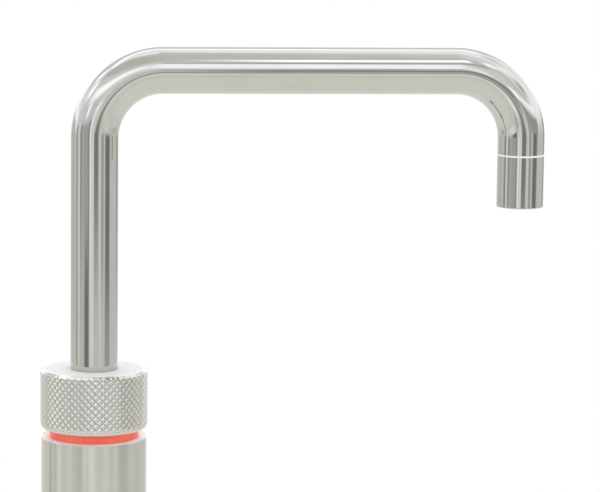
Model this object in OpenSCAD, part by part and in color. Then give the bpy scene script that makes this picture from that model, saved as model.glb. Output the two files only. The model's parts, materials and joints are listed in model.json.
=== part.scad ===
// Boiling water tap: a round column with a push-and-turn knob and a swivelling swan-neck spout.
// Millimetres. The origin is where the column's axis meets the worktop, +Z is up,
// and the spout points along +X.

/* [Column] */
// Height of the body's top face above the worktop
body_h = 102; // [92:1:130]
// Diameter of the body
body_d = 49.2; // [47.6:0.2:56]
// Wall of the body shell
shell_wall = 1.6; // [1.2:0.1:2]
// Thickness of the body's flat top plate
top_plate_t = 2; // [1.6:0.1:2.6]
// Thickness of the base ring under the shell
base_ring_t = 4; // [3:0.5:6]
// Height of the step that centres the shell on the base ring
register_h = 3; // [2.4:0.2:5]
// Thickness of the gasket under the base ring
gasket_t = 1; // [0.8:0.1:2]

/* [Knob] */
// Diameter over the crests of the knurl
knob_d = 50; // [49:0.5:56]
// Height of the knob
knob_h = 28.3; // [26:0.1:34]
// Gap between the body's top face and the knob's underside
knob_gap = 3.7; // [3.4:0.1:5]
// How far the knob pushes down
push_travel = 3; // [2:0.1:3]
// How far the knob turns between its two stops, in degrees
turn_angle = 90; // [60:5:120]
// Number of diamonds around the knurl
knurl_count = 46; // [36:1:56]
// Height of one diamond of the knurl
knurl_pitch = 3.4; // [2.8:0.1:4.2]
// Depth of the knurl's grooves
knurl_depth = 0.5; // [0.2:0.05:0.6]
// How far the knob's underside draws in towards the indicator ring
underside_in = 2.5; // [1.5:0.1:2.6]
// Height of the rounded underside
underside_h = 3.4; // [2:0.1:5]
// Height of the turned chamfer around the knob's top
top_chamfer_h = 1.2; // [0.8:0.1:2]
// Width of that chamfer, seen from above
top_chamfer_w = 1.6; // [0.8:0.1:1.8]
// Thickness of the polished cap
cap_t = 2.5; // [2:0.1:3]
// Ledge that carries the cap inside the knurled sleeve
cap_ledge = 1.35; // [1:0.05:1.4]

/* [Indicator] */
// Diameter of the orange-red ring
ring_d = 41.5; // [41:0.1:42]
// Wall of the ring
ring_wall = 2.35; // [2:0.05:2.6]
// Depth of the ring's seat in the top plate
ring_seat = 1; // [0.6:0.1:1.2]
// How far the ring stands up inside the knob at rest
ring_overlap = 0.8; // [0.5:0.1:1.5]
// Thickness of the sensor board
board_t = 1.6; // [1:0.1:1.8]
// Side of each light on the board
led_size = 1.5; // [1:0.1:1.6]
// Number of lights under the ring
led_count = 6; // [3:3:9]

/* [Spout] */
// Outer diameter of the spout tube
tube_d = 22; // [21:0.5:23]
// Wall of the spout tube
tube_wall = 1.2; // [1:0.1:1.4]
// Distance from the column's axis to the outlet's axis
reach = 200; // [150:5:260]
// Height of the level run's centreline above the worktop
spout_h = 273.7; // [240:0.1:340]
// Centreline radius of the two bends
bend_r = 31.5; // [26:0.5:32.5]
// Drop from the level run's centreline to the middle of the pale ring
seam_drop = 39.4; // [38.4:0.1:60]
// Thickness of the pale ring
seam_t = 0.8; // [0.5:0.1:1.5]
// Length of the nozzle below the pale ring
nozzle_len = 24.2; // [22:0.2:36]

/* [Waterway] */
// Outer diameter of the inner water tube and of the inlet tube
water_d = 8; // [7:0.5:8.5]
// Wall of both water tubes
water_wall = 0.8; // [0.6:0.1:1]
// Length of the nozzle's thread on its nipple
thread_len = 9.9; // [7:0.1:12]
// Thickness of the outlet's rubber seal
seal_t = 1.6; // [1:0.1:2]
// Thickness of the perforated outlet disc
mesh_t = 0.8; // [0.5:0.1:1.2]
// Height of the ring that holds the outlet disc
mouth_ring_h = 2.7; // [2:0.1:3]
// Recess of that ring above the nozzle's edge
mouth_recess = 0.8; // [0.4:0.1:1]

/* [Bearings and spring] */
// Wall of the plain bushes that the spout turns in
bush_wall = 1.15; // [0.9:0.05:1.4]
// Length of the lower bush
lower_bush_len = 10; // [8:0.5:14]
// Length of the upper bush
upper_bush_len = 11; // [8:0.5:13]
// Wall of the column core's neck
neck_wall = 1.65; // [1.5:0.05:1.8]
// Wall of the push slider
slider_wall = 2.4; // [2.2:0.05:2.6]
// Width of the core's shoulder under the return spring
spring_seat = 2.6; // [2.4:0.1:2.8]
// Height of the return spring at rest
spring_len = 12; // [11.4:0.1:13]
// Diameter of the spring's wire
wire_d = 1.1; // [0.8:0.05:1.3]
// Number of turns in the spring
spring_turns = 4; // [3:0.5:4.5]

/* [Worktop fixing] */
// Thickness of the worktop
worktop_t = 30; // [12:1:38]
// Diameter of the threaded shank
shank_d = 32; // [31:0.5:33]
// Wall of the shank
shank_wall = 3.1; // [2.8:0.1:3.4]
// Length of the shank below the worktop's top
shank_len = 62; // [56:1:80]
// Pitch of the shank's thread
thread_pitch = 2; // [1.5:0.25:2.5]
// Depth of the shank's thread
thread_depth = 0.9; // [0.5:0.1:1.1]
// Thickness of the rubber washer
rubber_t = 3; // [2:0.5:4]
// Thickness of the steel washer
washer_t = 2; // [1.5:0.5:3]
// Diameter of both washers
washer_d = 52; // [48:1:60]
// Size of the clamp nut across its flats
nut_af = 44; // [42:1:48]
// Height of the clamp nut
nut_h = 10; // [8:0.5:12]
// Length of the inlet tube below the shank
inlet_len = 46; // [30:1:80]

/* [Fits] */
// Radial gap between pieces fixed to each other
snug = 0.05; // [0.03:0.01:0.08]
// Radial gap in the spout's bushes and under its wipers
bearing_gap = 0.06; // [0.04:0.01:0.08]
// Gap between pieces that move past each other
run_gap = 0.3; // [0.25:0.05:0.35]

/* [Hidden] */
$fn = 96;
eps = 0.01;
// How far a cutter runs past the face that it cuts
past = 1;

// Colours, as the photograph shows them
polished = [0.80, 0.80, 0.77];
satin = [0.75, 0.75, 0.72];
bright_top = [0.93, 0.94, 0.95];
orange_red = [0.93, 0.34, 0.24];
brass = [0.78, 0.62, 0.32];
rubber = [0.12, 0.12, 0.12];
pale_plastic = [0.90, 0.90, 0.87];
dark_plastic = [0.20, 0.21, 0.22];
board_green = [0.10, 0.32, 0.20];
spring_steel = [0.62, 0.63, 0.64];

// Radii, from the axis outwards
tube_r = tube_d / 2;
tube_ir = tube_r - tube_wall;
water_r = water_d / 2;
bush_ir = tube_r + bearing_gap;
bush_or = bush_ir + bush_wall;
core_bore = bush_or + snug;
neck_r = core_bore + neck_wall;
core_r = neck_r + spring_seat;
slider_ir = neck_r + run_gap;
slider_or = slider_ir + slider_wall;
hub_ir = slider_or + run_gap;
body_r = body_d / 2;
shell_ir = body_r - shell_wall;
register_r = shell_ir - snug;
ring_r = ring_d / 2;
ring_ir = ring_r - ring_wall;
ring_foot_step = 1.2;
ring_foot_r = ring_r - ring_foot_step;
knob_r = knob_d / 2;
ring_clear = 0.2;
grip_bore = ring_r + run_gap + ring_clear;
hub_or = grip_bore - snug;
cap_r = grip_bore + cap_ledge - snug;
shank_r = shank_d / 2;
shank_ir = shank_r - shank_wall;

// Heights at the foot of the column
core_z = base_ring_t + register_h;
foot_flange_h = 8;
shank_grip = 12;
shank_top_z = core_z + shank_grip;
disc_t = 3;
disc_top_z = shank_top_z + disc_t;
turret_h = 20;
turret_top_z = disc_top_z + turret_h;
socket_wall = 4;
core_foot_lip = 2;
core_foot_top_z = disc_top_z + core_foot_lip;
gasket_w = 3;
gasket_mid = (shank_r + run_gap + body_r) / 2;
gasket_or = gasket_mid + gasket_w / 2;
gasket_ir = gasket_mid - gasket_w / 2;
seal_cord_r = 0.5;
seal_groove_h = 1.2;
seal_z = base_ring_t + register_h / 2;
grub_z = core_z + foot_flange_h / 2;
grub_r = 2;
grub_tip = shank_r + 2;

// Heights at the spout's lower end
foot_gap = 2;
spout_foot_z = turret_top_z + foot_gap;
spout_foot_t = 4;
tube_foot_z = spout_foot_z + spout_foot_t;
clip_zone = 4;
bush_seat_z = tube_foot_z + clip_zone;
bush_step = 0.35;
clip_t = 1;
clip_bite = 0.4;
spout_clip_z = bush_seat_z - run_gap - clip_t;
collar_z = bush_seat_z + lower_bush_len + run_gap / 3;
collar_h = 4;

// Heights at the top of the body
plate_z = body_h - top_plate_t;
shoulder_z = plate_z;
ring_seat_z = body_h - ring_seat;
ring_top_z = body_h + knob_gap + ring_overlap;
shelf_drop = 3;
shelf_top_z = plate_z - shelf_drop;
shelf_t = 3;
board_top_z = shelf_top_z + board_t;
led_h = 0.6;
led_gap = 0.2;
ring_foot_z = board_top_z + led_h + led_gap;
led_orbit = (ring_ir + ring_foot_r) / 2;
board_gap = 0.1;
board_w = 3.5;
board_ir = core_r + board_gap;
board_or = board_ir + board_w;
board_screw_orbit = board_ir + board_w / 2;
screw_count = 3;
screw_head_r = 1.05;
screw_head_h = 0.7;
screw_r = 0.9;
screw_depth = 2;

// Heights in the knob
knob_z = body_h + knob_gap;
knob_top_z = knob_z + knob_h;
cap_z = knob_top_z - cap_t;
neck_top_z = cap_z - push_travel - run_gap;
slider_z = shoulder_z + spring_len;
slider_headroom = 1.5;
slider_top_z = cap_z - slider_headroom;
slider_flange_t = 2;
flange_inset = 0.9;
slider_flange_r = hub_or - flange_inset;
thrust_t = 0.8;
thrust_width = 1.6;
hub_z = slider_z + slider_flange_t + thrust_t + run_gap / 3;
neck_clip_drop = 7;
neck_clip_z = neck_top_z - neck_clip_drop;
neck_clip_bite = 0.5;
neck_clip_out = 1;
neck_clip_r = neck_r + neck_clip_out;
slider_ledge_z = neck_clip_z - run_gap;
slider_pocket_r = neck_clip_r + run_gap;
hub_clip_drop = 3.9;
hub_clip_z = cap_z - hub_clip_drop;
hub_clip_t = 0.8;
hub_clip_bite = 0.35;
hub_clip_out = 1.4;
hub_clip_r = slider_or + hub_clip_out;
hub_ledge_z = hub_clip_z - run_gap;
hub_pocket_r = hub_clip_r + 2 * run_gap;
key_w = 3;
key_depth = 0.5;
key_slot_r = neck_r - key_depth - run_gap;
key_slot_spare = 1;
key_slot_z = slider_z - push_travel - key_slot_spare;
peg_r = 0.8;
peg_inset = 0.7;
peg_orbit = slider_flange_r - peg_inset;
magnet_d = 3;
magnet_h = 2.5;
magnet_count = 4;
magnet_orbit = (hub_ir + hub_or) / 2;
wiper_width = 1.3;
wiper_r = bush_ir + wiper_width;
wiper_h = 0.9;
wiper_recess = 0.1;
wiper_z = knob_top_z - wiper_h - wiper_recess;

// The spout's path and the outlet
bend_z = spout_h - bend_r;
seam_z = spout_h - seam_drop;
tube_end_z = seam_z + seam_t / 2;
nozzle_top_z = seam_z - seam_t / 2;
nozzle_z = nozzle_top_z - nozzle_len;
nozzle_r = tube_r;
seam_inset = 0.1;
fitting_r = tube_ir - snug;
fitting_drop = 0.2;
fitting_top_z = bend_z - fitting_drop;
nipple_step = 1.2;
nipple_r = tube_ir - nipple_step;
nipple_end_z = nozzle_top_z - thread_len;
outlet_step = 0.3;
outlet_bore = tube_ir - outlet_step;
insert_r = outlet_bore - snug;
mouth_ring_z = nozzle_z + mouth_recess;
mesh_z = mouth_ring_z + mouth_ring_h;
straightener_z = mesh_z + mesh_t;
straightener_top_z = nipple_end_z - seal_t;
water_socket_r = water_r + snug;
water_socket_depth = 4;
collar_len = 4;

// The rotary water joint: a spigot on the spout turns in a bored turret
spigot_step = 1;
spigot_bore_r = water_r - water_wall - spigot_step;
turret_bore = water_r + run_gap;
turret_wall = 2;
turret_r = turret_bore + turret_wall;
inlet_seat = 6;
turret_floor = 9;
spigot_gap = 2;
spigot_z = shank_top_z + turret_floor + spigot_gap;
o_ring_cord_r = 0.7;
o_ring_mid_r = turret_bore - bearing_gap - o_ring_cord_r;
o_ring_first = 2.5;
o_ring_spacing = 4.5;
o_ring_heights = [for (i = [0, 1]) spigot_z + o_ring_first + i * o_ring_spacing];

// Below the worktop
washer_top_z = -worktop_t;
steel_top_z = washer_top_z - rubber_t;
nut_top_z = steel_top_z - washer_t;
shank_end_z = -shank_len;
thread_start_z = -10;
plug_t = 2;
plug_in = 10;
plug_edge = 0.5;
plug_z = shank_end_z - plug_t;
inlet_z = shank_end_z - plug_t - inlet_len;
bead_h = 2;
bead_out = 1.2;

// The sensor lead's route
lead_d = 2.4;
lead_r = lead_d / 2;
lead_gap = 0.5;
lead_out = core_r + lead_gap + lead_r;
lead_in = (turret_r + core_bore - bush_step) / 2;
lead_bend = (lead_out - lead_in) / 2;
lead_drop = 7;
lead_cross_z = turret_top_z - lead_drop;
lead_window_h = 4.5 * lead_d;
lead_side = 180;
socket_r = 2.9;

// The return spring's coil
spring_mid_r = (neck_r + core_r) / 2;
coil_steps = 20;
coil_sides = 6;

// ---- Shared shapes ----

// A ring of rectangular section
module ring(outer, inner, z, h) {
    translate([0, 0, z])
        difference() {
            cylinder(r = outer, h = h);
            translate([0, 0, -eps]) cylinder(r = inner, h = h + 2 * eps);
        }
}

// A rubber ring of round section
module o_ring(middle_r, cord_r, z) {
    translate([0, 0, z]) rotate_extrude() translate([middle_r, 0]) circle(r = cord_r, $fn = 32);
}

// An open spring clip, with its gap turned to one side
clip_gap = 32;
module open_clip(outer, inner, z, h, gap_at) {
    translate([0, 0, z])
        rotate([0, 0, gap_at + clip_gap / 2])
            rotate_extrude(angle = 360 - clip_gap)
                translate([inner, 0]) square([outer - inner, h]);
}

// A quarter of a bend in the XZ plane, from the angle start to start + 90
module bend(mid_r, r, start) {
    rotate([90, 0, 0])
        rotate([0, 0, start])
            rotate_extrude(angle = 90)
                translate([mid_r, 0]) circle(r = r);
}

// A round bar along the spout's centreline, from foot_z up and over to end_z
module spout_run(r, foot_z, end_z) {
    translate([0, 0, foot_z]) cylinder(r = r, h = bend_z - foot_z);
    translate([bend_r, 0, bend_z]) bend(bend_r, r, 90);
    translate([bend_r, 0, spout_h]) rotate([0, 90, 0]) cylinder(r = r, h = reach - 2 * bend_r);
    translate([reach - bend_r, 0, bend_z]) bend(bend_r, r, 0);
    translate([reach, 0, end_z]) cylinder(r = r, h = bend_z - end_z);
}

// Places its children around the axis
module around(count, orbit, first = 0) {
    for (i = [0 : count - 1])
        rotate([0, 0, first + i * 360 / count])
            translate([orbit, 0, 0]) children();
}

// Centres of a round field of holes in a hexagonal grid, rings deep
function hex_field(rings, pitch) = [
    for (i = [-rings : rings], j = [-rings : rings])
        if (abs(i + j) <= rings) [pitch * (i + j / 2), pitch * j * sqrt(3) / 2]
];

// ---- Column ----

module base_ring() {
    color(satin)
        difference() {
            union() {
                cylinder(r = body_r, h = base_ring_t);
                cylinder(r = register_r, h = core_z);
            }
            translate([0, 0, -eps]) cylinder(r = shank_r + run_gap, h = core_z + 2 * eps);
            ring(gasket_or + snug, gasket_ir - snug, -eps, gasket_t + eps);
            ring(register_r + past, shell_ir - 2 * seal_cord_r - 2 * snug,
                 seal_z - seal_groove_h / 2, seal_groove_h);
        }
}

module base_gasket() {
    color(rubber) ring(gasket_or, gasket_ir, 0, gasket_t);
}

// The shell is a cover: an open tube with a flat top that holds the indicator ring
module body_shell() {
    edge = 0.35;
    color(satin)
        difference() {
            rotate_extrude()
                polygon([
                    [ring_foot_r + snug, plate_z], [shell_ir, plate_z], [shell_ir, base_ring_t],
                    [body_r, base_ring_t], [body_r, body_h - edge], [body_r - edge, body_h],
                    [ring_r + snug, body_h], [ring_r + snug, ring_seat_z],
                    [ring_foot_r + snug, ring_seat_z]
                ]);
            translate([0, shell_ir - past, grub_z])
                rotate([-90, 0, 0]) cylinder(r = grub_r + snug, h = shell_wall + 2 * past);
        }
}

module shell_seal() {
    color(rubber) o_ring(shell_ir - snug - seal_cord_r, seal_cord_r, seal_z);
}

// One headless screw at the back, with a hexagonal socket
module shell_grub_screw() {
    inset = 0.4;
    hex_r = 1.1;
    hex_depth = 2.5;
    color(spring_steel)
        translate([0, body_r - inset, grub_z])
            rotate([90, 0, 0])
                difference() {
                    cylinder(r = grub_r, h = body_r - inset - grub_tip);
                    translate([0, 0, -eps]) cylinder(r = hex_r, h = hex_depth, $fn = 6);
                }
}

// Turned core: foot, board shelf, spring shoulder and the neck that the knob rides on
module column_core() {
    foot_r = shank_r + snug + socket_wall;
    shelf_z = shelf_top_z - shelf_t;
    shelf_lip = 0.3;
    shelf_r = board_or + shelf_lip;
    color(brass)
        difference() {
            rotate_extrude()
                polygon([
                    [shank_r + snug, core_z], [register_r, core_z],
                    [register_r, core_z + foot_flange_h], [foot_r, core_z + foot_flange_h],
                    [foot_r, core_foot_top_z], [core_r, core_foot_top_z],
                    [core_r, shelf_z], [shelf_r, shelf_z], [shelf_r, shelf_top_z],
                    [core_r, shelf_top_z], [core_r, shoulder_z], [neck_r, shoulder_z],
                    [neck_r, neck_top_z], [core_bore, neck_top_z], [core_bore, bush_seat_z],
                    [core_bore - bush_step, bush_seat_z], [core_bore - bush_step, disc_top_z],
                    [shank_r + snug, disc_top_z]
                ]);
            ring(neck_r + past, neck_r - neck_clip_bite, neck_clip_z - snug, clip_t + 2 * snug);
            for (side = [0, 180])
                rotate([0, 0, side])
                    translate([-key_w / 2 - run_gap, key_slot_r, key_slot_z])
                        cube([key_w + 2 * run_gap, neck_wall, neck_top_z - key_slot_z + eps]);
            rotate([0, 0, lead_side])
                translate([core_bore - past, -lead_r - run_gap, lead_cross_z - lead_window_h / 2])
                    cube([core_r - core_bore + 2 * past, lead_d + 2 * run_gap, lead_window_h]);
            rotate([0, 0, lead_side])
                translate([lead_out, 0, shelf_z - eps])
                    cylinder(r = lead_r + run_gap, h = shelf_t + 2 * eps);
            around(screw_count, board_screw_orbit)
                translate([0, 0, shelf_z - eps])
                    cylinder(r = screw_r + snug, h = shelf_t + 2 * eps);
            translate([0, core_bore, grub_z])
                rotate([-90, 0, 0]) cylinder(r = grub_r + snug, h = body_r);
        }
}

// Shank with a row of grooves in place of its thread
module threaded_shank() {
    plain_end = 2;
    count = floor((shank_len + thread_start_z - plain_end) / thread_pitch);
    grooves = [
        for (i = [0 : count - 1])
            each [
                [shank_r, thread_start_z - i * thread_pitch],
                [shank_r - thread_depth, thread_start_z - (i + 0.5) * thread_pitch]
            ]
    ];
    color(brass)
        rotate_extrude()
            polygon(concat(
                [[shank_ir, shank_end_z], [shank_ir, shank_top_z], [shank_r, shank_top_z]],
                grooves,
                [[shank_r, thread_start_z - count * thread_pitch], [shank_r, shank_end_z]]
            ));
}

// Plug in the shank's lower end, which centres the inlet tube and the lead's socket
module shank_plug() {
    color(dark_plastic)
        difference() {
            union() {
                translate([0, 0, plug_z]) cylinder(r = shank_r - plug_edge, h = plug_t);
                translate([0, 0, shank_end_z]) cylinder(r = shank_ir - snug, h = plug_in);
            }
            translate([0, 0, plug_z - eps])
                cylinder(r = water_socket_r, h = plug_t + plug_in + 2 * eps);
            rotate([0, 0, lead_side])
                translate([lead_in, 0, plug_z - eps])
                    cylinder(r = socket_r + snug, h = plug_t + plug_in + 2 * eps);
        }
}

// Four-pin socket that the control lead from the boiler pushes into
module lead_socket() {
    rim = 1;
    wall = 0.7;
    depth = 3;
    color(pale_plastic)
        rotate([0, 0, lead_side])
            translate([lead_in, 0, plug_z - rim])
                difference() {
                    cylinder(r = socket_r, h = plug_t + plug_in + rim);
                    translate([0, 0, -eps]) cylinder(r = socket_r - wall, h = depth);
                }
}

// Its bead seats under the plug and stops the connector that is pushed on from below
module inlet_tube() {
    color(polished)
        difference() {
            union() {
                translate([0, 0, inlet_z])
                    cylinder(r = water_r, h = shank_top_z + inlet_seat - inlet_z);
                translate([0, 0, plug_z - bead_h]) cylinder(r = water_r + bead_out, h = bead_h);
            }
            translate([0, 0, inlet_z - past])
                cylinder(r = water_r - water_wall, h = shank_top_z + turret_floor - inlet_z);
        }
}

// Fixed half of the rotary water joint: a disc clamped over the shank, with a bored turret
module swivel_socket() {
    color(brass)
        difference() {
            union() {
                translate([0, 0, shank_top_z]) cylinder(r = shank_r - snug, h = disc_t);
                translate([0, 0, shank_top_z]) cylinder(r = turret_r, h = disc_t + turret_h);
            }
            translate([0, 0, shank_top_z - eps]) cylinder(r = water_socket_r, h = inlet_seat + eps);
            translate([0, 0, shank_top_z]) cylinder(r = water_r - water_wall, h = turret_h);
            translate([0, 0, shank_top_z + turret_floor]) cylinder(r = turret_bore, h = turret_h);
            rotate([0, 0, lead_side])
                translate([lead_in, 0, shank_top_z - eps])
                    cylinder(r = lead_r + run_gap, h = disc_t + 2 * eps);
        }
}

module rubber_washer() {
    color(rubber) ring(washer_d / 2, shank_r + run_gap, steel_top_z, rubber_t);
}

module steel_washer() {
    color(spring_steel) ring(washer_d / 2, shank_r + run_gap, nut_top_z, washer_t);
}

module clamp_nut() {
    color(brass)
        difference() {
            translate([0, 0, nut_top_z - nut_h])
                cylinder(d = nut_af / cos(30), h = nut_h, $fn = 6);
            translate([0, 0, nut_top_z - nut_h - eps])
                cylinder(r = shank_r + snug, h = nut_h + 2 * eps);
        }
}

module lower_bush() {
    color(pale_plastic) ring(bush_or, bush_ir, bush_seat_z, lower_bush_len);
}

module upper_bush() {
    color(pale_plastic) ring(bush_or, bush_ir, neck_top_z - upper_bush_len, upper_bush_len);
}

module neck_clip() {
    color(spring_steel)
        open_clip(neck_clip_r, neck_r - neck_clip_bite + snug, neck_clip_z, clip_t, 180);
}

// ---- Indicator and sensing ----

module indicator_ring() {
    edge = 0.2;
    color(orange_red)
        rotate_extrude()
            polygon([
                [ring_ir, ring_foot_z], [ring_foot_r, ring_foot_z], [ring_foot_r, ring_seat_z],
                [ring_r, ring_seat_z], [ring_r, ring_top_z - edge],
                [ring_r - edge, ring_top_z], [ring_ir, ring_top_z]
            ]);
}

module sensor_board() {
    color(board_green)
        difference() {
            ring(board_or, board_ir, shelf_top_z, board_t);
            around(screw_count, board_screw_orbit)
                translate([0, 0, shelf_top_z - eps])
                    cylinder(r = screw_r + snug, h = board_t + 2 * eps);
        }
}

module board_screws() {
    color(spring_steel)
        around(screw_count, board_screw_orbit) {
            translate([0, 0, board_top_z]) cylinder(r = screw_head_r, h = screw_head_h);
            translate([0, 0, shelf_top_z - screw_depth])
                cylinder(r = screw_r, h = board_t + screw_depth);
        }
}

module indicator_leds() {
    color(pale_plastic)
        around(led_count, led_orbit, 180 / led_count)
            translate([-led_size / 2, -led_size / 2, board_top_z])
                cube([led_size, led_size, led_h]);
}

// Lead from the board down outside the core, through its wall and down the shank
module sensor_lead() {
    top_z = lead_cross_z + lead_bend;
    low_z = lead_cross_z - lead_bend;
    mid = lead_in + lead_bend;
    color(dark_plastic)
        rotate([0, 0, lead_side]) {
            translate([lead_out, 0, top_z]) cylinder(r = lead_r, h = shelf_top_z - top_z);
            translate([mid, 0, top_z]) bend(lead_bend, lead_r, 270);
            translate([mid, 0, low_z]) bend(lead_bend, lead_r, 90);
            translate([lead_in, 0, shank_end_z + plug_in])
                cylinder(r = lead_r, h = low_z - shank_end_z - plug_in);
        }
}

// ---- Push slider: slides on the neck, and two keys stop it turning ----

// A point on the coil's section: turn is counted along the wire, side around it
function coil_point(turn, side) =
    let (
        along = spring_len - wire_d,
        z = shoulder_z + wire_d / 2 + along * turn / spring_turns,
        out = spring_mid_r + wire_d / 2 * cos(side * 360 / coil_sides)
    )
    [out * cos(360 * turn), out * sin(360 * turn), z + wire_d / 2 * sin(side * 360 / coil_sides)];

// Clear space between one turn of the wire and the next
coil_gap = (spring_len - wire_d) / spring_turns - wire_d;
echo(coil_gap = coil_gap);

module return_spring() {
    last = coil_steps * spring_turns;
    points = [
        for (i = [0 : last], s = [0 : coil_sides - 1]) coil_point(i / coil_steps, s)
    ];
    sides = [
        for (i = [0 : last - 1], s = [0 : coil_sides - 1])
            let (a = i * coil_sides + s, b = i * coil_sides + (s + 1) % coil_sides)
            each [[a, a + coil_sides, b], [b, a + coil_sides, b + coil_sides]]
    ];
    start = [for (s = [0 : coil_sides - 1]) s];
    finish = [for (s = [coil_sides - 1 : -1 : 0]) last * coil_sides + s];
    color(spring_steel) polyhedron(points, concat(sides, [start], [finish]));
}

module push_slider() {
    stop_margin = asin((peg_r + run_gap) / peg_orbit);
    color(pale_plastic)
        difference() {
            union() {
                ring(slider_flange_r, slider_ir, slider_z, slider_flange_t);
                ring(slider_or, slider_ir, slider_z, slider_top_z - slider_z);
                for (side = [0, 180])
                    rotate([0, 0, side])
                        translate([-key_w / 2, neck_r - key_depth, slider_z])
                            cube([key_w, key_depth + run_gap + past, slider_ledge_z - slider_z]);
            }
            translate([0, 0, slider_ledge_z]) cylinder(r = slider_pocket_r, h = slider_top_z);
            ring(slider_or + past, slider_or - hub_clip_bite, hub_clip_z - snug,
                 hub_clip_t + 2 * snug);
            translate([0, 0, slider_z - eps])
                rotate([0, 0, -stop_margin])
                    rotate_extrude(angle = turn_angle + 2 * stop_margin)
                        translate([peg_orbit - peg_r - run_gap, 0])
                            square([2 * peg_r + run_gap + past, slider_flange_t + 2 * eps]);
        }
}

module thrust_washer() {
    color(bright_top)
        ring(slider_or + thrust_width, slider_or + snug, slider_z + slider_flange_t, thrust_t);
}

module hub_clip() {
    color(spring_steel)
        open_clip(hub_clip_r, slider_or - hub_clip_bite + snug, hub_clip_z, hub_clip_t, 180);
}

// ---- Knob ----

// Outline of the knob at a height above its underside
function outline_r(h) =
    h >= underside_h ? knob_r
    : knob_r - underside_in * (1 - sqrt(1 - pow(1 - h / underside_h, 2)));

// Knurl of four-sided points: crests and groove crossings alternate on a grid
module knurled_bar() {
    around_n = 2 * knurl_count;
    knurl_h = knob_h - top_chamfer_h;
    rows = 2 * round(knurl_h / knurl_pitch);
    row_h = knurl_h / rows;
    function is_groove(k, j) = (j + k) % 2 == 0;
    function point_r(k, j) =
        k == 0 ? outline_r(0)
        : k == rows ? knob_r - knurl_depth / 2
        : outline_r(k * row_h) - (is_groove(k, j) ? knurl_depth : 0);
    points = concat(
        [
            for (k = [0 : rows], j = [0 : around_n - 1])
                let (a = j * 360 / around_n, r = point_r(k, j))
                [r * cos(a), r * sin(a), k * row_h]
        ],
        [
            for (j = [0 : around_n - 1])
                let (a = j * 360 / around_n, r = knob_r - top_chamfer_w)
                [r * cos(a), r * sin(a), knob_h]
        ]
    );
    faces = [
        for (k = [0 : rows], j = [0 : around_n - 1])
            let (
                a = k * around_n + j,
                b = k * around_n + (j + 1) % around_n,
                c = b + around_n,
                d = a + around_n
            )
            each is_groove(k, j) ? [[a, d, c], [a, c, b]] : [[a, d, b], [d, c, b]]
    ];
    underside = [for (j = [0 : around_n - 1]) j];
    top = [for (j = [around_n - 1 : -1 : 0]) (rows + 1) * around_n + j];
    polyhedron(points, concat(faces, [underside], [top]));
}

module knob_grip() {
    color(satin)
        difference() {
            translate([0, 0, knob_z]) knurled_bar();
            translate([0, 0, knob_z - past]) cylinder(r = grip_bore, h = knob_h + 2 * past);
            translate([0, 0, cap_z]) cylinder(r = cap_r + snug, h = cap_t + past);
        }
}

module knob_cap() {
    color(bright_top)
        difference() {
            ring(cap_r, tube_r + run_gap, cap_z, cap_t);
            ring(wiper_r + snug, tube_r, wiper_z, wiper_h + past);
        }
}

// Hub inside the knob: it turns on the slider, holds the magnets, and its peg meets the stops
module knob_hub() {
    color(dark_plastic)
        difference() {
            union() {
                ring(hub_or, hub_ir, hub_z, hub_ledge_z - hub_z);
                ring(hub_or, hub_pocket_r, hub_z, cap_z - hub_z);
                translate([peg_orbit, 0, slider_z + run_gap])
                    cylinder(r = peg_r, h = hub_z - slider_z - run_gap + past);
            }
            around(magnet_count, magnet_orbit, 180 / magnet_count)
                translate([0, 0, hub_z - eps])
                    cylinder(r = magnet_d / 2 + snug, h = magnet_h + 2 * eps);
        }
}

module knob_magnets() {
    color(spring_steel)
        around(magnet_count, magnet_orbit, 180 / magnet_count)
            translate([0, 0, hub_z]) cylinder(d = magnet_d, h = magnet_h);
}

module knob_wiper() {
    color(pale_plastic) ring(wiper_r, bush_ir, wiper_z, wiper_h);
}

// ---- Spout ----

module spout_tube() {
    color(polished)
        difference() {
            spout_run(tube_r, tube_foot_z, tube_end_z);
            spout_run(tube_ir, tube_foot_z - past, tube_end_z - past);
            ring(tube_r + past, tube_r - clip_bite, spout_clip_z - snug, clip_t + 2 * snug);
        }
}

// Plug in the spout's foot, with the turning half of the water joint
module spout_foot() {
    plug_h = 8;
    groove_play = 0.4;
    groove_h = 2 * o_ring_cord_r + groove_play;
    plug_top_z = tube_foot_z + plug_h;
    color(brass)
        difference() {
            union() {
                translate([0, 0, spout_foot_z]) cylinder(r = tube_r, h = spout_foot_t);
                translate([0, 0, spout_foot_z])
                    cylinder(r = tube_ir - snug, h = plug_top_z - spout_foot_z);
                translate([0, 0, spigot_z]) cylinder(r = water_r, h = spout_foot_z - spigot_z + past);
            }
            translate([0, 0, spigot_z - eps])
                cylinder(r = spigot_bore_r, h = plug_top_z - spigot_z);
            translate([0, 0, tube_foot_z]) cylinder(r = water_socket_r, h = plug_h + eps);
            for (z = o_ring_heights)
                ring(water_r + past, o_ring_mid_r - o_ring_cord_r - snug, z - groove_h / 2, groove_h);
        }
}

module spigot_o_rings() {
    color(rubber)
        for (z = o_ring_heights)
            o_ring(o_ring_mid_r, o_ring_cord_r, z);
}

module spout_clip() {
    color(spring_steel)
        open_clip(core_bore - bush_step - run_gap, tube_r - clip_bite + snug, spout_clip_z,
                  clip_t, 180);
}

// Collar on the tube that carries the spout's weight on the lower bush
module spout_collar() {
    color(spring_steel) ring(core_bore - run_gap, tube_r + snug, collar_z, collar_h);
}

module inner_water_tube() {
    end_z = fitting_top_z - water_socket_depth;
    color(polished)
        difference() {
            spout_run(water_r, tube_foot_z, end_z);
            spout_run(water_r - water_wall, tube_foot_z - past, end_z - past);
        }
}

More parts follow.
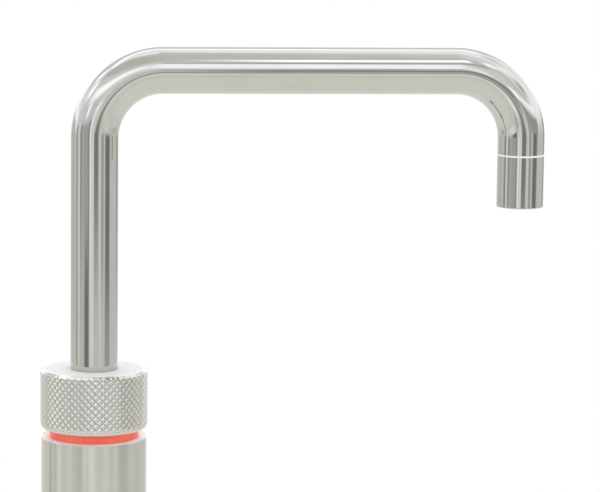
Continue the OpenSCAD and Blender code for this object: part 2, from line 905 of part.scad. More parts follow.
// Three-hole collar that keeps the hot inner tube off the spout tube
module centring_collar() {
    mid = (water_r + tube_ir) / 2;
    hole_r = 1.8;
    hole_count = 3;
    difference() {
        ring(tube_ir - snug, water_socket_r, -collar_len / 2, collar_len);
        around(hole_count, mid)
            translate([0, 0, -collar_len]) cylinder(r = hole_r, h = 2 * collar_len);
    }
}

module centring_collars() {
    upright_shares = [0.3, 0.85];
    level_shares = [0.15, 0.85];
    rise = bend_z - tube_foot_z;
    run = reach - 2 * bend_r;
    color(pale_plastic) {
        for (share = upright_shares)
            translate([0, 0, tube_foot_z + share * rise]) centring_collar();
        for (share = level_shares)
            translate([bend_r + share * run, 0, spout_h]) rotate([0, 90, 0]) centring_collar();
    }
}

// Brass end of the spout: the inner tube plugs in above, and the nozzle screws on below
module outlet_fitting() {
    color(brass)
        translate([reach, 0, 0])
            difference() {
                union() {
                    translate([0, 0, tube_end_z])
                        cylinder(r = fitting_r, h = fitting_top_z - tube_end_z);
                    translate([0, 0, nipple_end_z])
                        cylinder(r = nipple_r, h = fitting_top_z - nipple_end_z);
                }
                translate([0, 0, nipple_end_z - eps])
                    cylinder(r = water_r - water_wall, h = fitting_top_z);
                translate([0, 0, fitting_top_z - water_socket_depth])
                    cylinder(r = water_socket_r, h = water_socket_depth + eps);
            }
}

module seam_ring() {
    color(bright_top)
        translate([reach, 0, 0]) ring(tube_r - seam_inset, nipple_r + snug, nozzle_top_z, seam_t);
}

module nozzle_sleeve() {
    edge = 0.3;
    color(polished)
        translate([reach, 0, 0])
            rotate_extrude()
                polygon([
                    [outlet_bore, nozzle_z], [nozzle_r - edge, nozzle_z],
                    [nozzle_r, nozzle_z + edge], [nozzle_r, nozzle_top_z],
                    [nipple_r + snug, nozzle_top_z], [nipple_r + snug, nipple_end_z],
                    [outlet_bore, nipple_end_z]
                ]);
}

module outlet_seal() {
    color(rubber)
        translate([reach, 0, 0]) ring(insert_r, water_r, straightener_top_z, seal_t);
}

// Honeycomb of long holes that makes the jet smooth
module flow_straightener() {
    h = straightener_top_z - straightener_z;
    rings = 3;
    pitch = 2.5;
    hole_r = 0.95;
    color(pale_plastic)
        translate([reach, 0, straightener_z])
            difference() {
                cylinder(r = insert_r, h = h);
                for (p = hex_field(rings, pitch))
                    translate([p[0], p[1], -eps]) cylinder(r = hole_r, h = h + 2 * eps, $fn = 24);
            }
}

module outlet_mesh() {
    rings = 4;
    pitch = 1.85;
    hole_r = 0.6;
    color(spring_steel)
        translate([reach, 0, mesh_z])
            difference() {
                cylinder(r = insert_r, h = mesh_t);
                for (p = hex_field(rings, pitch))
                    translate([p[0], p[1], -eps]) cylinder(r = hole_r, h = mesh_t + past, $fn = 16);
            }
}

module mouth_ring() {
    wall = 1.3;
    color(polished)
        translate([reach, 0, 0]) ring(insert_r, insert_r - wall, mouth_ring_z, mouth_ring_h);
}

base_ring();
base_gasket();
body_shell();
shell_seal();
shell_grub_screw();
column_core();
threaded_shank();
shank_plug();
lead_socket();
inlet_tube();
swivel_socket();
rubber_washer();
steel_washer();
clamp_nut();
lower_bush();
upper_bush();
neck_clip();
indicator_ring();
sensor_board();
board_screws();
indicator_leds();
sensor_lead();
return_spring();
push_slider();
thrust_washer();
hub_clip();
knob_grip();
knob_cap();
knob_hub();
knob_magnets();
knob_wiper();
spout_tube();
spout_foot();
spigot_o_rings();
spout_clip();
spout_collar();
inner_water_tube();
centring_collars();
outlet_fitting();
seam_ring();
nozzle_sleeve();
outlet_seal();
flow_straightener();
outlet_mesh();
mouth_ring();
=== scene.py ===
# %% [markdown]
# # Dressing a boiling water tap
#
# The CAD model already holds every part of this tap at its real size and in its real place.
# This file loads it as a fixed frame, makes finer meshes for what shows, and gives every part
# its finish. Then it sets up the studio that polished steel needs around it.
# The unit of a Blender scene is the metre. The sizes below are in millimetres, as on a
# workshop drawing, and one factor turns them into metres.

import json
import math

import bmesh
import bpy
from mathutils import Matrix, Vector

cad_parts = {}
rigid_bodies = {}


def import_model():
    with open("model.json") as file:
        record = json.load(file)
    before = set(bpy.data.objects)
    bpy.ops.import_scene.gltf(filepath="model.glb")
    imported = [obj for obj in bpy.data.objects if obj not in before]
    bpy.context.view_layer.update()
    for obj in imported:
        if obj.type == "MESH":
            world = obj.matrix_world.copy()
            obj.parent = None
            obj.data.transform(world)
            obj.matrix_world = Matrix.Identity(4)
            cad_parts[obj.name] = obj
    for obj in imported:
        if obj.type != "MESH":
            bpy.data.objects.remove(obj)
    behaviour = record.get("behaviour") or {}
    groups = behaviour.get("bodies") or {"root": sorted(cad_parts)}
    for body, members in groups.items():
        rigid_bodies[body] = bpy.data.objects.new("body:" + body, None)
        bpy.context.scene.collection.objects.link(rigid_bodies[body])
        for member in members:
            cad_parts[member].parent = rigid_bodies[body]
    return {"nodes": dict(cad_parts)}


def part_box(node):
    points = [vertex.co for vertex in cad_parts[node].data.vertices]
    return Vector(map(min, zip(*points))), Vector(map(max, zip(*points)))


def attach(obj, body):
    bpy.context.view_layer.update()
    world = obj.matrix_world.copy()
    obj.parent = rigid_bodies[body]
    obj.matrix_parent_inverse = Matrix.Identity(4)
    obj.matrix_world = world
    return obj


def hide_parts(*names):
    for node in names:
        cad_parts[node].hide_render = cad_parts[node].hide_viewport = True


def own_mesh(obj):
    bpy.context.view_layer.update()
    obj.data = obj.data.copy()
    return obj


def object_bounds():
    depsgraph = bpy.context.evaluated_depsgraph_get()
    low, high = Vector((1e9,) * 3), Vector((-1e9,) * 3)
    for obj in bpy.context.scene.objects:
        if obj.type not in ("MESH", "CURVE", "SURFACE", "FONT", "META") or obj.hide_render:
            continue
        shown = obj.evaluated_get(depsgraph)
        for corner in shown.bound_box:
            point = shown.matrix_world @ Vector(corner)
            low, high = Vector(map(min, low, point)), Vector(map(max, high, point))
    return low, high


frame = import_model()
cad_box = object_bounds()
MM = 0.001

# %% [markdown]
# ## The camera
#
# How flat the round edges of the knob and the body look tells where the camera stood: 1.4 m
# away, a little left of the column, at about 0.4 m above the worktop and looking 8 degrees
# down. A long lens keeps the two legs of the spout parallel. The camera's own axes are built
# from three angles and set as a matrix, because that leaves no doubt about their order.

# %% Camera
PHOTO_WIDTH = 600
CAMERA_PLACE = Vector((-63.3, -1403.1, 400.8)) * MM
TURN, TILT, ROLL = (math.radians(angle) for angle in (6.483, 8.440, 0.7185))
FOCAL_PIXELS = 3049.3
NEAR_LIMIT, FAR_LIMIT = 0.05, 60

ahead = Vector(
    (math.sin(TURN) * math.cos(TILT), math.cos(TURN) * math.cos(TILT), -math.sin(TILT))
)
level_right = Vector((math.cos(TURN), -math.sin(TURN), 0))
level_up = level_right.cross(ahead)
right = math.cos(ROLL) * level_right + math.sin(ROLL) * level_up
up = math.cos(ROLL) * level_up - math.sin(ROLL) * level_right

lens = bpy.data.cameras.new("photo_camera")
lens.sensor_width = 36
lens.lens = FOCAL_PIXELS * lens.sensor_width / PHOTO_WIDTH
lens.clip_start, lens.clip_end = NEAR_LIMIT, FAR_LIMIT
camera = bpy.data.objects.new("photo_camera", lens)
axes = Matrix((right, up, -ahead)).transposed().to_4x4()
camera.matrix_world = Matrix.Translation(CAMERA_PLACE) @ axes
bpy.context.scene.collection.objects.link(camera)
bpy.context.scene.camera = camera
bpy.context.scene.view_settings.view_transform = "Standard"
print(f"camera: {lens.lens:.1f} mm lens")

# %% [markdown]
# ## Writing shader maths as plain sums
#
# A finish is a small tree of nodes. Joining nodes by hand takes many lines, so one class
# wraps an output of a node. Sums on it add Math nodes, `rise` and `mix` add the two nodes
# that nearly every finish needs, and `node` adds any other.

# %% Wire
class Wire:
    """One output in a node tree, or only the tree when it has no socket yet."""

    def __init__(self, tree, socket=None):
        self.tree = tree
        self.socket = socket

    def node(self, kind, settings=None, inputs=None, out=0):
        """Adds a node: its settings first, then the values or wires of its inputs."""
        made = self.tree.nodes.new(kind)
        for name, value in (settings or {}).items():
            if name == "stops":
                ramp = made.color_ramp.elements
                while len(ramp) < len(value):
                    ramp.new(1)
                for stop, (place, colour) in zip(ramp, value):
                    stop.position, stop.color = place, (*colour, 1)
            else:
                setattr(made, name, value)
        for name, value in (inputs or {}).items():
            entry = made.inputs[name]
            if isinstance(value, Wire):
                self.tree.links.new(value.socket, entry)
            elif entry.type == "RGBA":
                entry.default_value = (*value, 1)
            else:
                entry.default_value = value
        return Wire(self.tree, made.outputs[out] if len(made.outputs) else None)

    def maths(self, operation, *terms):
        return self.node("ShaderNodeMath", {"operation": operation}, dict(enumerate(terms)))

    def __add__(self, other):
        return self.maths("ADD", self, other)

    def __radd__(self, other):
        return self.maths("ADD", other, self)

    def __sub__(self, other):
        return self.maths("SUBTRACT", self, other)

    def __rsub__(self, other):
        return self.maths("SUBTRACT", other, self)

    def __mul__(self, other):
        return self.maths("MULTIPLY", self, other)

    def __rmul__(self, other):
        return self.maths("MULTIPLY", other, self)

    def __neg__(self):
        return self.maths("MULTIPLY", self, -1)

    def rise(self, low, high):
        """0 at low, 1 at high, and a soft slope between. With low above high it falls."""
        return self.node(
            "ShaderNodeMapRange",
            {"interpolation_type": "SMOOTHSTEP"},
            {"Value": self, "From Min": low, "From Max": high},
        )

    def mix(self, under, over):
        """A colour that goes from under to over as this wire goes from 0 to 1."""
        return self.node(
            "ShaderNodeMix", {"data_type": "RGBA"}, {0: self, 6: under, 7: over}, out=2
        )


print("Wire is ready")

# %% [markdown]
# ## What all finishes share
#
# A finish is a Principled shader and what feeds it. `finish` makes the material, and takes a
# function that gets a wire and says what goes into which socket. All patterns are measured
# in millimetres of the part itself, so they ride with it when it moves, and `grain` is the
# noise that most of them start from. Stretching the noise turns it into the fine lines that
# a lathe or a brush leaves.

# %% Finish helpers
def finish(name, inputs_of):
    """A material whose shader takes the inputs that inputs_of works out."""
    material = bpy.data.materials.new(name)
    material.use_nodes = True
    material.node_tree.nodes.clear()
    start = Wire(material.node_tree)
    shader = start.node("ShaderNodeBsdfPrincipled", None, inputs_of(start))
    start.node("ShaderNodeOutputMaterial", None, {"Surface": shader})
    return material


def millimetres(start):
    """The place on the part, in millimetres."""
    place = start.node("ShaderNodeTexCoord", out="Object")
    return start.node(
        "ShaderNodeVectorMath", {"operation": "MULTIPLY"}, {0: place, 1: (1 / MM,) * 3}
    )


def grain(place, scale, detail=2, stretch=(1, 1, 1)):
    """Noise from 0 to 1. scale is the number of grains in a millimetre."""
    stretched = place.node(
        "ShaderNodeVectorMath", {"operation": "MULTIPLY"}, {0: place, 1: stretch}
    )
    return place.node(
        "ShaderNodeTexNoise", None, {"Vector": stretched, "Scale": scale, "Detail": detail}
    )


def bump(height, strength, depth):
    """A Bump node's normal. depth is in millimetres."""
    return height.node(
        "ShaderNodeBump", None, {"Height": height, "Strength": strength, "Distance": depth * MM}
    )


def separate(vector):
    """The three numbers of a vector, each as a wire."""
    parts = vector.node("ShaderNodeSeparateXYZ", None, {0: vector})
    node = parts.socket.node
    return [Wire(vector.tree, node.outputs[axis]) for axis in "XYZ"]


print("finish helpers are ready")

# %% [markdown]
# ## Polished steel
#
# The spout and the nozzle are mirror-polished stainless steel. A polish is never perfect: a
# faint haze and the marks of the last cloth break up its reflections. Both are noise, one
# wide and soft, one fine, and they move the colour and the roughness only a little, because
# a mirror shows every change of its surface strongly.

# %% Polished steel
STEEL = (0.56, 0.556, 0.508)
STEEL_HAZE = (0.54, 0.535, 0.485)


def polished(start):
    place = millimetres(start)
    haze = grain(place, 0.05, 4)
    cloth = grain(place, 3, 2, (1, 1, 0.2))
    return {
        "Base Color": haze.rise(0.35, 0.7).mix(STEEL, STEEL_HAZE),
        "Metallic": 1,
        "Roughness": 0.02 + 0.02 * haze + 0.015 * cloth,
        "Normal": bump(cloth, 0.02, 0.005),
    }


polished_steel = finish("polished_steel_finish", polished)
print("polished steel is ready")

# %% [markdown]
# ## Satin steel
#
# The body was turned and then brushed on the lathe, so its lines run round it. Brushing
# spreads each reflection across the lines, which the anisotropic setting of the shader does.
# The flat ring at the top is faced instead, and it is painted near-white and not metal: a
# painted highlight that stays pale in the knob's shadow. One finish does both, and the
# height of the place picks which one shows.

# %% Satin steel
STEEL_BRUSHED = (0.62, 0.61, 0.53)
TOP_PAINTED_HIGHLIGHT = (0.95, 0.945, 0.92)
BODY_TOP_Z = 102


def satin(start):
    place = millimetres(start)
    lines = grain(place, 1, 3, (0.1, 0.1, 12))
    haze = grain(place, 0.06, 3)
    _, _, height = separate(place)
    top_face = height.rise(BODY_TOP_Z - 0.06, BODY_TOP_Z - 0.02)
    side = (0.6 * lines + 0.4 * haze).rise(0.25, 0.8).mix(STEEL, STEEL_BRUSHED)
    return {
        # the top ring's near-white, non-metal colour is a painted highlight
        "Base Color": top_face.mix(side, TOP_PAINTED_HIGHLIGHT),
        "Metallic": 1 - top_face,
        "Roughness": 0.13 + 0.04 * lines + 0.03 * haze + 0.3 * top_face,
        "Anisotropic": 0.9,
        "Anisotropic Rotation": 0.25,
        "Normal": bump(lines, 0.015, 0.003),
    }


satin_steel = finish("satin_steel_finish", satin)
print("satin steel is ready")

# %% [markdown]
# ## Knurled steel
#
# The knurl keeps the steel's own colour on its crests, and its grooves are painted darker:
# painted shade down in the recesses. How deep a place lies is its distance from the knob's
# axis, so the painted shade follows the real grooves of the mesh, and no second pattern has
# to be lined up with them. Specks of noise keep the painted shade from looking even.

# %% Knurled steel
KNOB_CREST_R, KNURL_DEPTH, KNURL_FOOT_Z, KNURL_HEAD_Z = 25, 0.5, 109.1, 132.7
CREST_STEEL, GROOVE_PAINTED_SHADE = (0.61, 0.6, 0.545), (0.29, 0.285, 0.24)


def from_axis(across, along):
    """How far a place lies from the column's axis."""
    return across.maths("SQRT", across * across + along * along)


def knurled(start):
    place = millimetres(start)
    across, along, height = separate(place)
    groove = from_axis(across, along).rise(KNOB_CREST_R - 0.1, KNOB_CREST_R - KNURL_DEPTH)
    groove = groove * height.rise(KNURL_FOOT_Z - 1, KNURL_FOOT_Z)
    groove = groove * height.rise(KNURL_HEAD_Z + 0.1, KNURL_HEAD_Z - 0.1)
    specks = grain(place, 1.6, 3)
    return {
        # the grooves' darker colour is painted shade, broken up by the specks
        "Base Color": (groove * (0.35 + 0.5 * specks)).mix(CREST_STEEL, GROOVE_PAINTED_SHADE),
        "Metallic": 1,
        "Roughness": 0.06 + 0.06 * specks + 0.05 * groove,
        "Normal": bump(specks, 0.08, 0.01),
    }


knurled_steel = finish("knurled_steel_finish", knurled)
print("knurled steel is ready")

# %% [markdown]
# ## The faced plate
#
# The plate on the knob is faced on a lathe. The tool leaves very fine rings round the axis,
# which spread the light, so the plate looks pale and almost matte beside the polished tube.
# Noise with one dimension only, fed with the distance from the axis, makes such rings.

# %% Faced plate
PLATE_BRIGHT, PLATE_PALE = (0.84, 0.84, 0.81), (0.80, 0.80, 0.77)


def plate(start):
    place = millimetres(start)
    across, along, _ = separate(place)
    radius = from_axis(across, along)
    rings = radius.node(
        "ShaderNodeTexNoise", {"noise_dimensions": "1D"}, {"W": radius, "Scale": 9, "Detail": 3}
    )
    return {
        "Base Color": rings.rise(0.3, 0.7).mix(PLATE_PALE, PLATE_BRIGHT),
        "Metallic": 0.12,
        "Roughness": 0.6 + 0.1 * rings,
        "Normal": bump(rings, 0.04, 0.004),
    }


plate_steel = finish("plate_steel_finish", plate)
print("faced plate is ready")

# %% [markdown]
# ## The light ring's plastic
#
# The ring is a translucent orange-red moulding with small lamps under it. It glows a little
# all round and is a shade deeper between the lamps. A weak emission over a coloured, glossy
# plastic gives both, and the emission is low enough that the studio still lights the ring.

# %% Light ring plastic
LAMPS_IN_RING = 6
RING_SHADE, RING_BRIGHT = (0.79, 0.1, 0.048), (0.85, 0.13, 0.06)
GLOW_SHADE, GLOW_BRIGHT, GLOW = (0.8, 0.085, 0.04), (0.9, 0.125, 0.06), 0.25


def lit_plastic(start):
    place = millimetres(start)
    across, along, _ = separate(place)
    around = across.maths("ARCTAN2", along, across)
    lamps = 0.5 + 0.5 * around.maths("COSINE", LAMPS_IN_RING * around)
    milky = grain(place, 0.5, 3)
    tone = (0.55 * milky + 0.45 * lamps).rise(0.1, 0.9)
    return {
        "Base Color": tone.mix(RING_SHADE, RING_BRIGHT),
        "Roughness": 0.3 + 0.1 * milky,
        "Emission Color": tone.mix(GLOW_SHADE, GLOW_BRIGHT),
        "Emission Strength": GLOW,
        "Coat Weight": 0.3,
        "Normal": bump(milky, 0.03, 0.02),
    }


ring_plastic = finish("light_ring_plastic", lit_plastic)
print("light ring plastic is ready")

# %% [markdown]
# ## Brass and spring steel
#
# These parts hide inside the column or under the worktop. Each still gets the marks of how
# it is made: turned brass has lines round its axis and warm, uneven tarnish, and spring
# steel is a little darker and duller than the polished kind. Noise stretched along the part
# gives the lines, and noise left round gives the tarnish.

# %% Brass and spring steel
def brass(start):
    place = millimetres(start)
    lines = grain(place, 1, 2, (0.2, 0.2, 9))
    tarnish = grain(place, 0.12, 4)
    return {
        "Base Color": tarnish.rise(0.35, 0.7).mix((0.75, 0.56, 0.27), (0.56, 0.38, 0.16)),
        "Metallic": 1,
        "Roughness": 0.16 + 0.12 * lines + 0.12 * tarnish,
        "Normal": bump(lines, 0.1, 0.01),
    }


def spring_steel(start):
    place = millimetres(start)
    lines = grain(place, 2, 2, (1, 1, 5))
    haze = grain(place, 0.2, 3)
    return {
        "Base Color": haze.rise(0.3, 0.7).mix((0.55, 0.56, 0.57), (0.43, 0.43, 0.44)),
        "Metallic": 1,
        "Roughness": 0.2 + 0.12 * lines,
        "Normal": bump(lines, 0.08, 0.01),
    }


turned_brass = finish("turned_brass", brass)
wire_steel = finish("spring_steel_finish", spring_steel)
print("brass and spring steel are ready")

# %% [markdown]
# ## Rubber and plastics
#
# Rubber is dull and dusty, and moulded plastic has a fine skin from its spark-eroded mould.
# They differ only in colour, dullness and how fine that skin is, so one function makes all
# of them. The nylon of the seam is the exception: it is whiter and milky, because light
# goes a little way into it.

# %% Rubber and plastics
def moulded(fresh, worn, dullness, skin):
    """A moulded part's finish. skin is how many grains its surface has in a millimetre."""

    def inputs(start):
        place = millimetres(start)
        fine = grain(place, skin, 2)
        cloud = grain(place, 0.15, 3)
        return {
            "Base Color": cloud.rise(0.3, 0.75).mix(fresh, worn),
            "Roughness": dullness + 0.15 * fine,
            "Normal": bump(fine, 0.25, 0.03),
        }

    return inputs


def milky_nylon(start):
    place = millimetres(start)
    milky = grain(place, 0.8, 3)
    return {
        "Base Color": milky.rise(0.3, 0.7).mix((0.9, 0.9, 0.88), (0.95, 0.95, 0.93)),
        "Roughness": 0.4 + 0.1 * milky,
        "Normal": bump(milky, 0.05, 0.01),
    }


rubber = finish("black_rubber", moulded((0.022, 0.022, 0.023), (0.05, 0.05, 0.05), 0.6, 4))
pale_nylon = finish("pale_nylon", moulded((0.84, 0.84, 0.80), (0.78, 0.78, 0.73), 0.4, 6))
dark_nylon = finish("dark_nylon", moulded((0.045, 0.047, 0.05), (0.075, 0.077, 0.08), 0.4, 6))
seam_nylon = finish("seam_nylon", milky_nylon)
print("rubber and plastics are ready")

# %% [markdown]
# ## The circuit board
#
# The ring-shaped board carries the sensors and the lamps. Tracks of copper run round it
# under green lacquer. Two ping-pong waves make them: one of the distance from the axis gives
# the rows, and one of the angle gives the breaks between them.

# %% Circuit board
ROWS_PER_MM, BREAKS_PER_RADIAN = 1.1, 4
LACQUER, LACQUERED_TRACK = (0.02, 0.16, 0.08), (0.05, 0.3, 0.13)


def lacquered_board(start):
    place = millimetres(start)
    across, along, _ = separate(place)
    around = across.maths("ARCTAN2", along, across)
    out = from_axis(across, along)
    rows = out.maths("PINGPONG", out * ROWS_PER_MM, 0.5).rise(0.2, 0.28)
    breaks = around.maths("PINGPONG", around * BREAKS_PER_RADIAN, 0.5).rise(0.06, 0.1)
    tracks = rows * breaks
    return {
        "Base Color": tracks.mix(LACQUER, LACQUERED_TRACK),
        "Roughness": 0.35 + 0.1 * grain(place, 2),
        "Coat Weight": 0.4,
        "Normal": bump(tracks, 0.4, 0.04),
    }


board = finish("lacquered_board", lacquered_board)
print("board finish is ready")

# %% [markdown]
# ## A finish for every CAD part
#
# The CAD model says in its own material slots what each part is made of. Each of those slots
# gets its finish here, so a CAD part that keeps its own mesh is finished like the pieces
# that replace its neighbours.

# %% Finishes on the CAD parts
FINISHES = {
    "polished_steel": polished_steel,
    "satin_steel": satin_steel,
    "knurled_steel": knurled_steel,
    "cap_steel": plate_steel,
    "light_ring": ring_plastic,
    "brass": turned_brass,
    "spring_steel": wire_steel,
    "rubber": rubber,
    "pale_plastic": pale_nylon,
    "dark_plastic": dark_nylon,
    "circuit_board": board,
}
for part in frame["nodes"].values():
    for entry in part.material_slots:
        entry.material = FINISHES[entry.material.name.split(".")[0]]
print("finishes:", len(FINISHES))

# %% [markdown]
# ## Turning a part on a lathe
#
# Most of the tap is round, so most of its fine meshes are profiles turned about an upright
# axis. A profile is a list of corners: radius, height and how far the edge is rounded off.
# Real steel has no perfectly sharp edge, and that narrow rounding is what catches the light.
# Each point keeps the true normal of its arc or line, and the mesh is given these normals,
# so that a flat face next to a small rounding still reflects like a flat face.

# %% Rounded profiles
ARC_STEP = math.radians(15)


def rounded_profile(corners):
    """Points of a closed profile as (radius, height, normal out, normal up)."""
    area = sum(a[0] * b[1] - b[0] * a[1] for a, b in zip(corners, corners[1:] + corners[:1]))
    if area < 0:
        corners = corners[::-1]
    points = []
    befores, afters = corners[-1:] + corners[:-1], corners[1:] + corners[:1]
    for before, here, after in zip(befores, corners, afters):
        corner = Vector(here[:2])
        come = (corner - Vector(before[:2])).normalized()
        go = (Vector(after[:2]) - corner).normalized()
        bend = math.atan2(come.x * go.y - come.y * go.x, come.dot(go))
        cut = here[2] * abs(math.tan(bend / 2))
        first = corner - come * cut
        steps = max(2, math.ceil(abs(bend) / ARC_STEP))
        side = math.copysign(1, bend)
        centre = first + Vector((-come.y, come.x)) * side * here[2]
        for step in range(steps + 1):
            turn = bend * step / steps
            cos, sin = math.cos(turn), math.sin(turn)
            way = Vector((come.x * cos - come.y * sin, come.x * sin + come.y * cos))
            normal = Vector((way.y, -way.x))
            points.append((*(centre + normal * side * here[2]), *normal))
    return points


print("profiles are ready")

# %% [markdown]
# ## Pieces and rings
#
# Every fine mesh is made of rings of points. `stitched` joins each ring to the next and the
# last one back to the first, which closes the skin round the metal. `add_piece` makes the
# mesh and hangs it on its body, in place of the CAD node that it stands for. A piece that
# has no normals of its own gets a crease angle: its edges look sharp where they bend more.

# %% Pieces and rings
def ring(sides, place):
    """A level ring of points. place gives the radius and the height of point number j."""
    points = []
    for j in range(sides):
        a = 2 * math.pi * j / sides
        r, z = place(j)
        points.append((r * math.cos(a), r * math.sin(a), z))
    return points


def stitched(rings, sides):
    """Faces between neighbouring rings, and between the last ring and the first."""
    faces = []
    for i in range(rings):
        low, high = i * sides, (i + 1) % rings * sides
        for j in range(sides):
            k = (j + 1) % sides
            faces.append((low + j, low + k, high + k, high + j))
    return faces


def add_piece(name, vertices, faces, look, body, node, normals=None, crease=None):
    """Makes the mesh from millimetres and hangs it on its body in place of its CAD node."""
    mesh = bpy.data.meshes.new(name)
    mesh.from_pydata([[value * MM for value in v] for v in vertices], [], faces)
    mesh.validate()
    mesh.shade_smooth()
    if normals:
        mesh.normals_split_custom_set_from_vertices(normals)
    if crease:
        mesh.set_sharp_from_angle(angle=math.radians(crease))
    piece = bpy.data.objects.new(name, mesh)
    bpy.context.scene.collection.objects.link(piece)
    mesh.materials.append(look)
    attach(piece, body)
    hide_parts(node)
    print(f"{name}: {len(mesh.polygons)} faces, for {node}")
    return piece


def turned(name, corners, look, body, node, axis_x=0, sides=160):
    """A closed profile turned about an upright axis."""
    points = rounded_profile(corners)
    vertices, normals = [], []
    for r, z, out, rise in points:
        for j in range(sides):
            a = 2 * math.pi * j / sides
            vertices.append((axis_x + r * math.cos(a), r * math.sin(a), z))
            normals.append((out * math.cos(a), out * math.sin(a), rise))
    faces = stitched(len(points), sides)
    return add_piece(name, vertices, faces, look, body, node, normals)


print("piece helpers are ready")

# %% [markdown]
# ## The spout's centreline
#
# The spout is one length of round tube, bent twice round a former. Its centreline goes
# straight up, round the first bend, along, round the second and down. Only the bends need
# stations, because the straight lengths lie between them. They need many, because a mirror
# shows every flat between two rings.

# %% Spout centreline
REACH, BEND_R, LEVEL_Z = 200, 31.5, 273.7
BEND_RINGS = 64


def spout_line():
    """Stations of both bends, each as (place, way out in the plane of the spout)."""
    bend_z = LEVEL_Z - BEND_R
    stations = []
    for k in range(BEND_RINGS + 1):
        a = math.pi / 2 * k / BEND_RINGS
        out = Vector((-math.cos(a), 0, math.sin(a)))
        stations.append((Vector((BEND_R, 0, bend_z)) + BEND_R * out, out))
    for k in range(BEND_RINGS + 1):
        a = math.pi / 2 * k / BEND_RINGS
        out = Vector((math.sin(a), 0, math.cos(a)))
        stations.append((Vector((REACH - BEND_R, 0, bend_z)) + BEND_R * out, out))
    return stations


bends = spout_line()
print("stations on the bends:", len(bends))

# %% [markdown]
# ## The spout tube
#
# A ring of points is carried up the outside of the tube, over its end and back down the
# bore, so outside and bore are one closed skin. A shallow groove at the foot, where the clip
# sits, is part of the same sweep. The way out turns with the line: it is -x on the column's
# leg and x on the outlet's.

# %% Spout tube
TUBE_R, TUBE_BORE_R, TUBE_END_Z = 11, 9.8, 234.7
CLIP_GROOVE_R, CLIP_T, SNUG = 10.6, 1, 0.05
TUBE_SIDES, BORE_SKIPS = 144, 4
EDGE = 0.08

foot_z, _ = (corner.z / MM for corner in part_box("spout_tube"))
clip_z, _ = (corner.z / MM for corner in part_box("spout_clip"))
print(f"spout foot at {foot_z:.2f}, clip at {clip_z:.2f}")
out_left, out_right = Vector((-1, 0, 0)), Vector((1, 0, 0))


def leg(x, z, out, r):
    """A station on one of the two upright legs."""
    return Vector((x, 0, z)), out, r


outside = [
    leg(0, foot_z, out_left, TUBE_R - EDGE),
    leg(0, foot_z + EDGE, out_left, TUBE_R),
    leg(0, clip_z - SNUG, out_left, TUBE_R),
    leg(0, clip_z - SNUG, out_left, CLIP_GROOVE_R),
    leg(0, clip_z + CLIP_T + SNUG, out_left, CLIP_GROOVE_R),
    leg(0, clip_z + CLIP_T + SNUG, out_left, TUBE_R),
    *[(place, out, TUBE_R) for place, out in bends],
    leg(REACH, TUBE_END_Z + EDGE, out_right, TUBE_R),
    leg(REACH, TUBE_END_Z, out_right, TUBE_R - EDGE),
]
inside = [
    leg(0, foot_z, out_left, TUBE_BORE_R),
    *[(place, out, TUBE_BORE_R) for place, out in bends[::BORE_SKIPS]],
    leg(REACH, TUBE_END_Z, out_right, TUBE_BORE_R),
]
stations = outside + inside[::-1]
across_spout = Vector((0, 1, 0))
vertices = []
for place, out, r in stations:
    for j in range(TUBE_SIDES):
        a = 2 * math.pi * j / TUBE_SIDES
        vertices.append(place + r * (math.cos(a) * out + math.sin(a) * across_spout))
# these rings run the other way round, so each face is turned over
faces = [(a, d, c, b) for a, b, c, d in stitched(len(stations), TUBE_SIDES)]
add_piece(
    "polished_spout", vertices, faces, polished_steel, "spout", "spout_tube",
    crease=35,
)

# %% [markdown]
# ## The seam and the nozzle
#
# A short nozzle screws onto the end of the tube, and a pale ring shows in the joint between
# them. Both are turned parts, with the narrow rounded edges that a buffing wheel leaves.

# %% Seam and nozzle
SEAM_LOW, SEAM_HIGH = (corner.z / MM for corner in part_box("seam_ring"))
NOZZLE_Z, _ = (corner.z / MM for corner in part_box("nozzle_sleeve"))
SEAM_R, NIPPLE_R, OUTLET_R, NIPPLE_END_Z = 10.9, 8.65, 9.5, 224

turned(
    "pale_seam",
    [
        (SEAM_R, SEAM_LOW, 0.04), (SEAM_R, SEAM_HIGH, 0.04),
        (NIPPLE_R, SEAM_HIGH, 0.05), (NIPPLE_R, SEAM_LOW, 0.05),
    ],
    seam_nylon, "spout", "seam_ring", REACH,
)
turned(
    "turned_nozzle",
    [
        (OUTLET_R, NOZZLE_Z, 0.25), (TUBE_R, NOZZLE_Z, 0.45),
        (TUBE_R, SEAM_LOW, 0.08), (NIPPLE_R, SEAM_LOW, 0.05),
        (NIPPLE_R, NIPPLE_END_Z, 0.05), (OUTLET_R, NIPPLE_END_Z, 0.05),
    ],
    polished_steel, "spout", "nozzle_sleeve", REACH,
)

# %% [markdown]
# ## The knurl's pattern
#
# A diamond knurl is rolled into the knob by two toothed wheels that cross. It leaves rows of
# small four-sided points with worn, slightly flat crests. The pattern is worked out on a
# grid in angle and height: u and v count from crest to crest, and their sum says how far a
# point is down the side of its diamond. A part of the slope is straight and a part is
# smoothed, which is how a worn tooth looks.

# %% Knurl pattern
DIAMONDS, HALF_ROWS, FINE = 46, 16, 5
UNDERSIDE_IN, UNDERSIDE_H = 2.5, 3.4
CREST_FLAT, SMOOTH_SHARE = 0.34, 0.35


def grip_outline(h):
    """The crests' radius at a height over the knob's foot: rounded below, then straight."""
    if h >= UNDERSIDE_H:
        return KNOB_CREST_R
    return KNOB_CREST_R - UNDERSIDE_IN * (1 - math.sqrt(1 - (1 - h / UNDERSIDE_H) ** 2))


def smooth(t):
    """0 up to t = 0, 1 from t = 1, and a soft slope between."""
    t = min(max(t, 0), 1)
    return t * t * (3 - 2 * t)


def groove_depth(j, k):
    """How far the surface lies under the crests, as a share, at a point of the grid."""
    u = abs((j / FINE) % 2 - 1)
    v = abs((k / FINE) % 2 - 1)
    away = min(u + v, 2 - u - v)
    slope = (away - CREST_FLAT) / (1 - CREST_FLAT)
    return smooth(slope) * SMOOTH_SHARE + (1 - SMOOTH_SHARE) * max(0, slope)


print("knurl of", DIAMONDS, "diamonds round the knob")

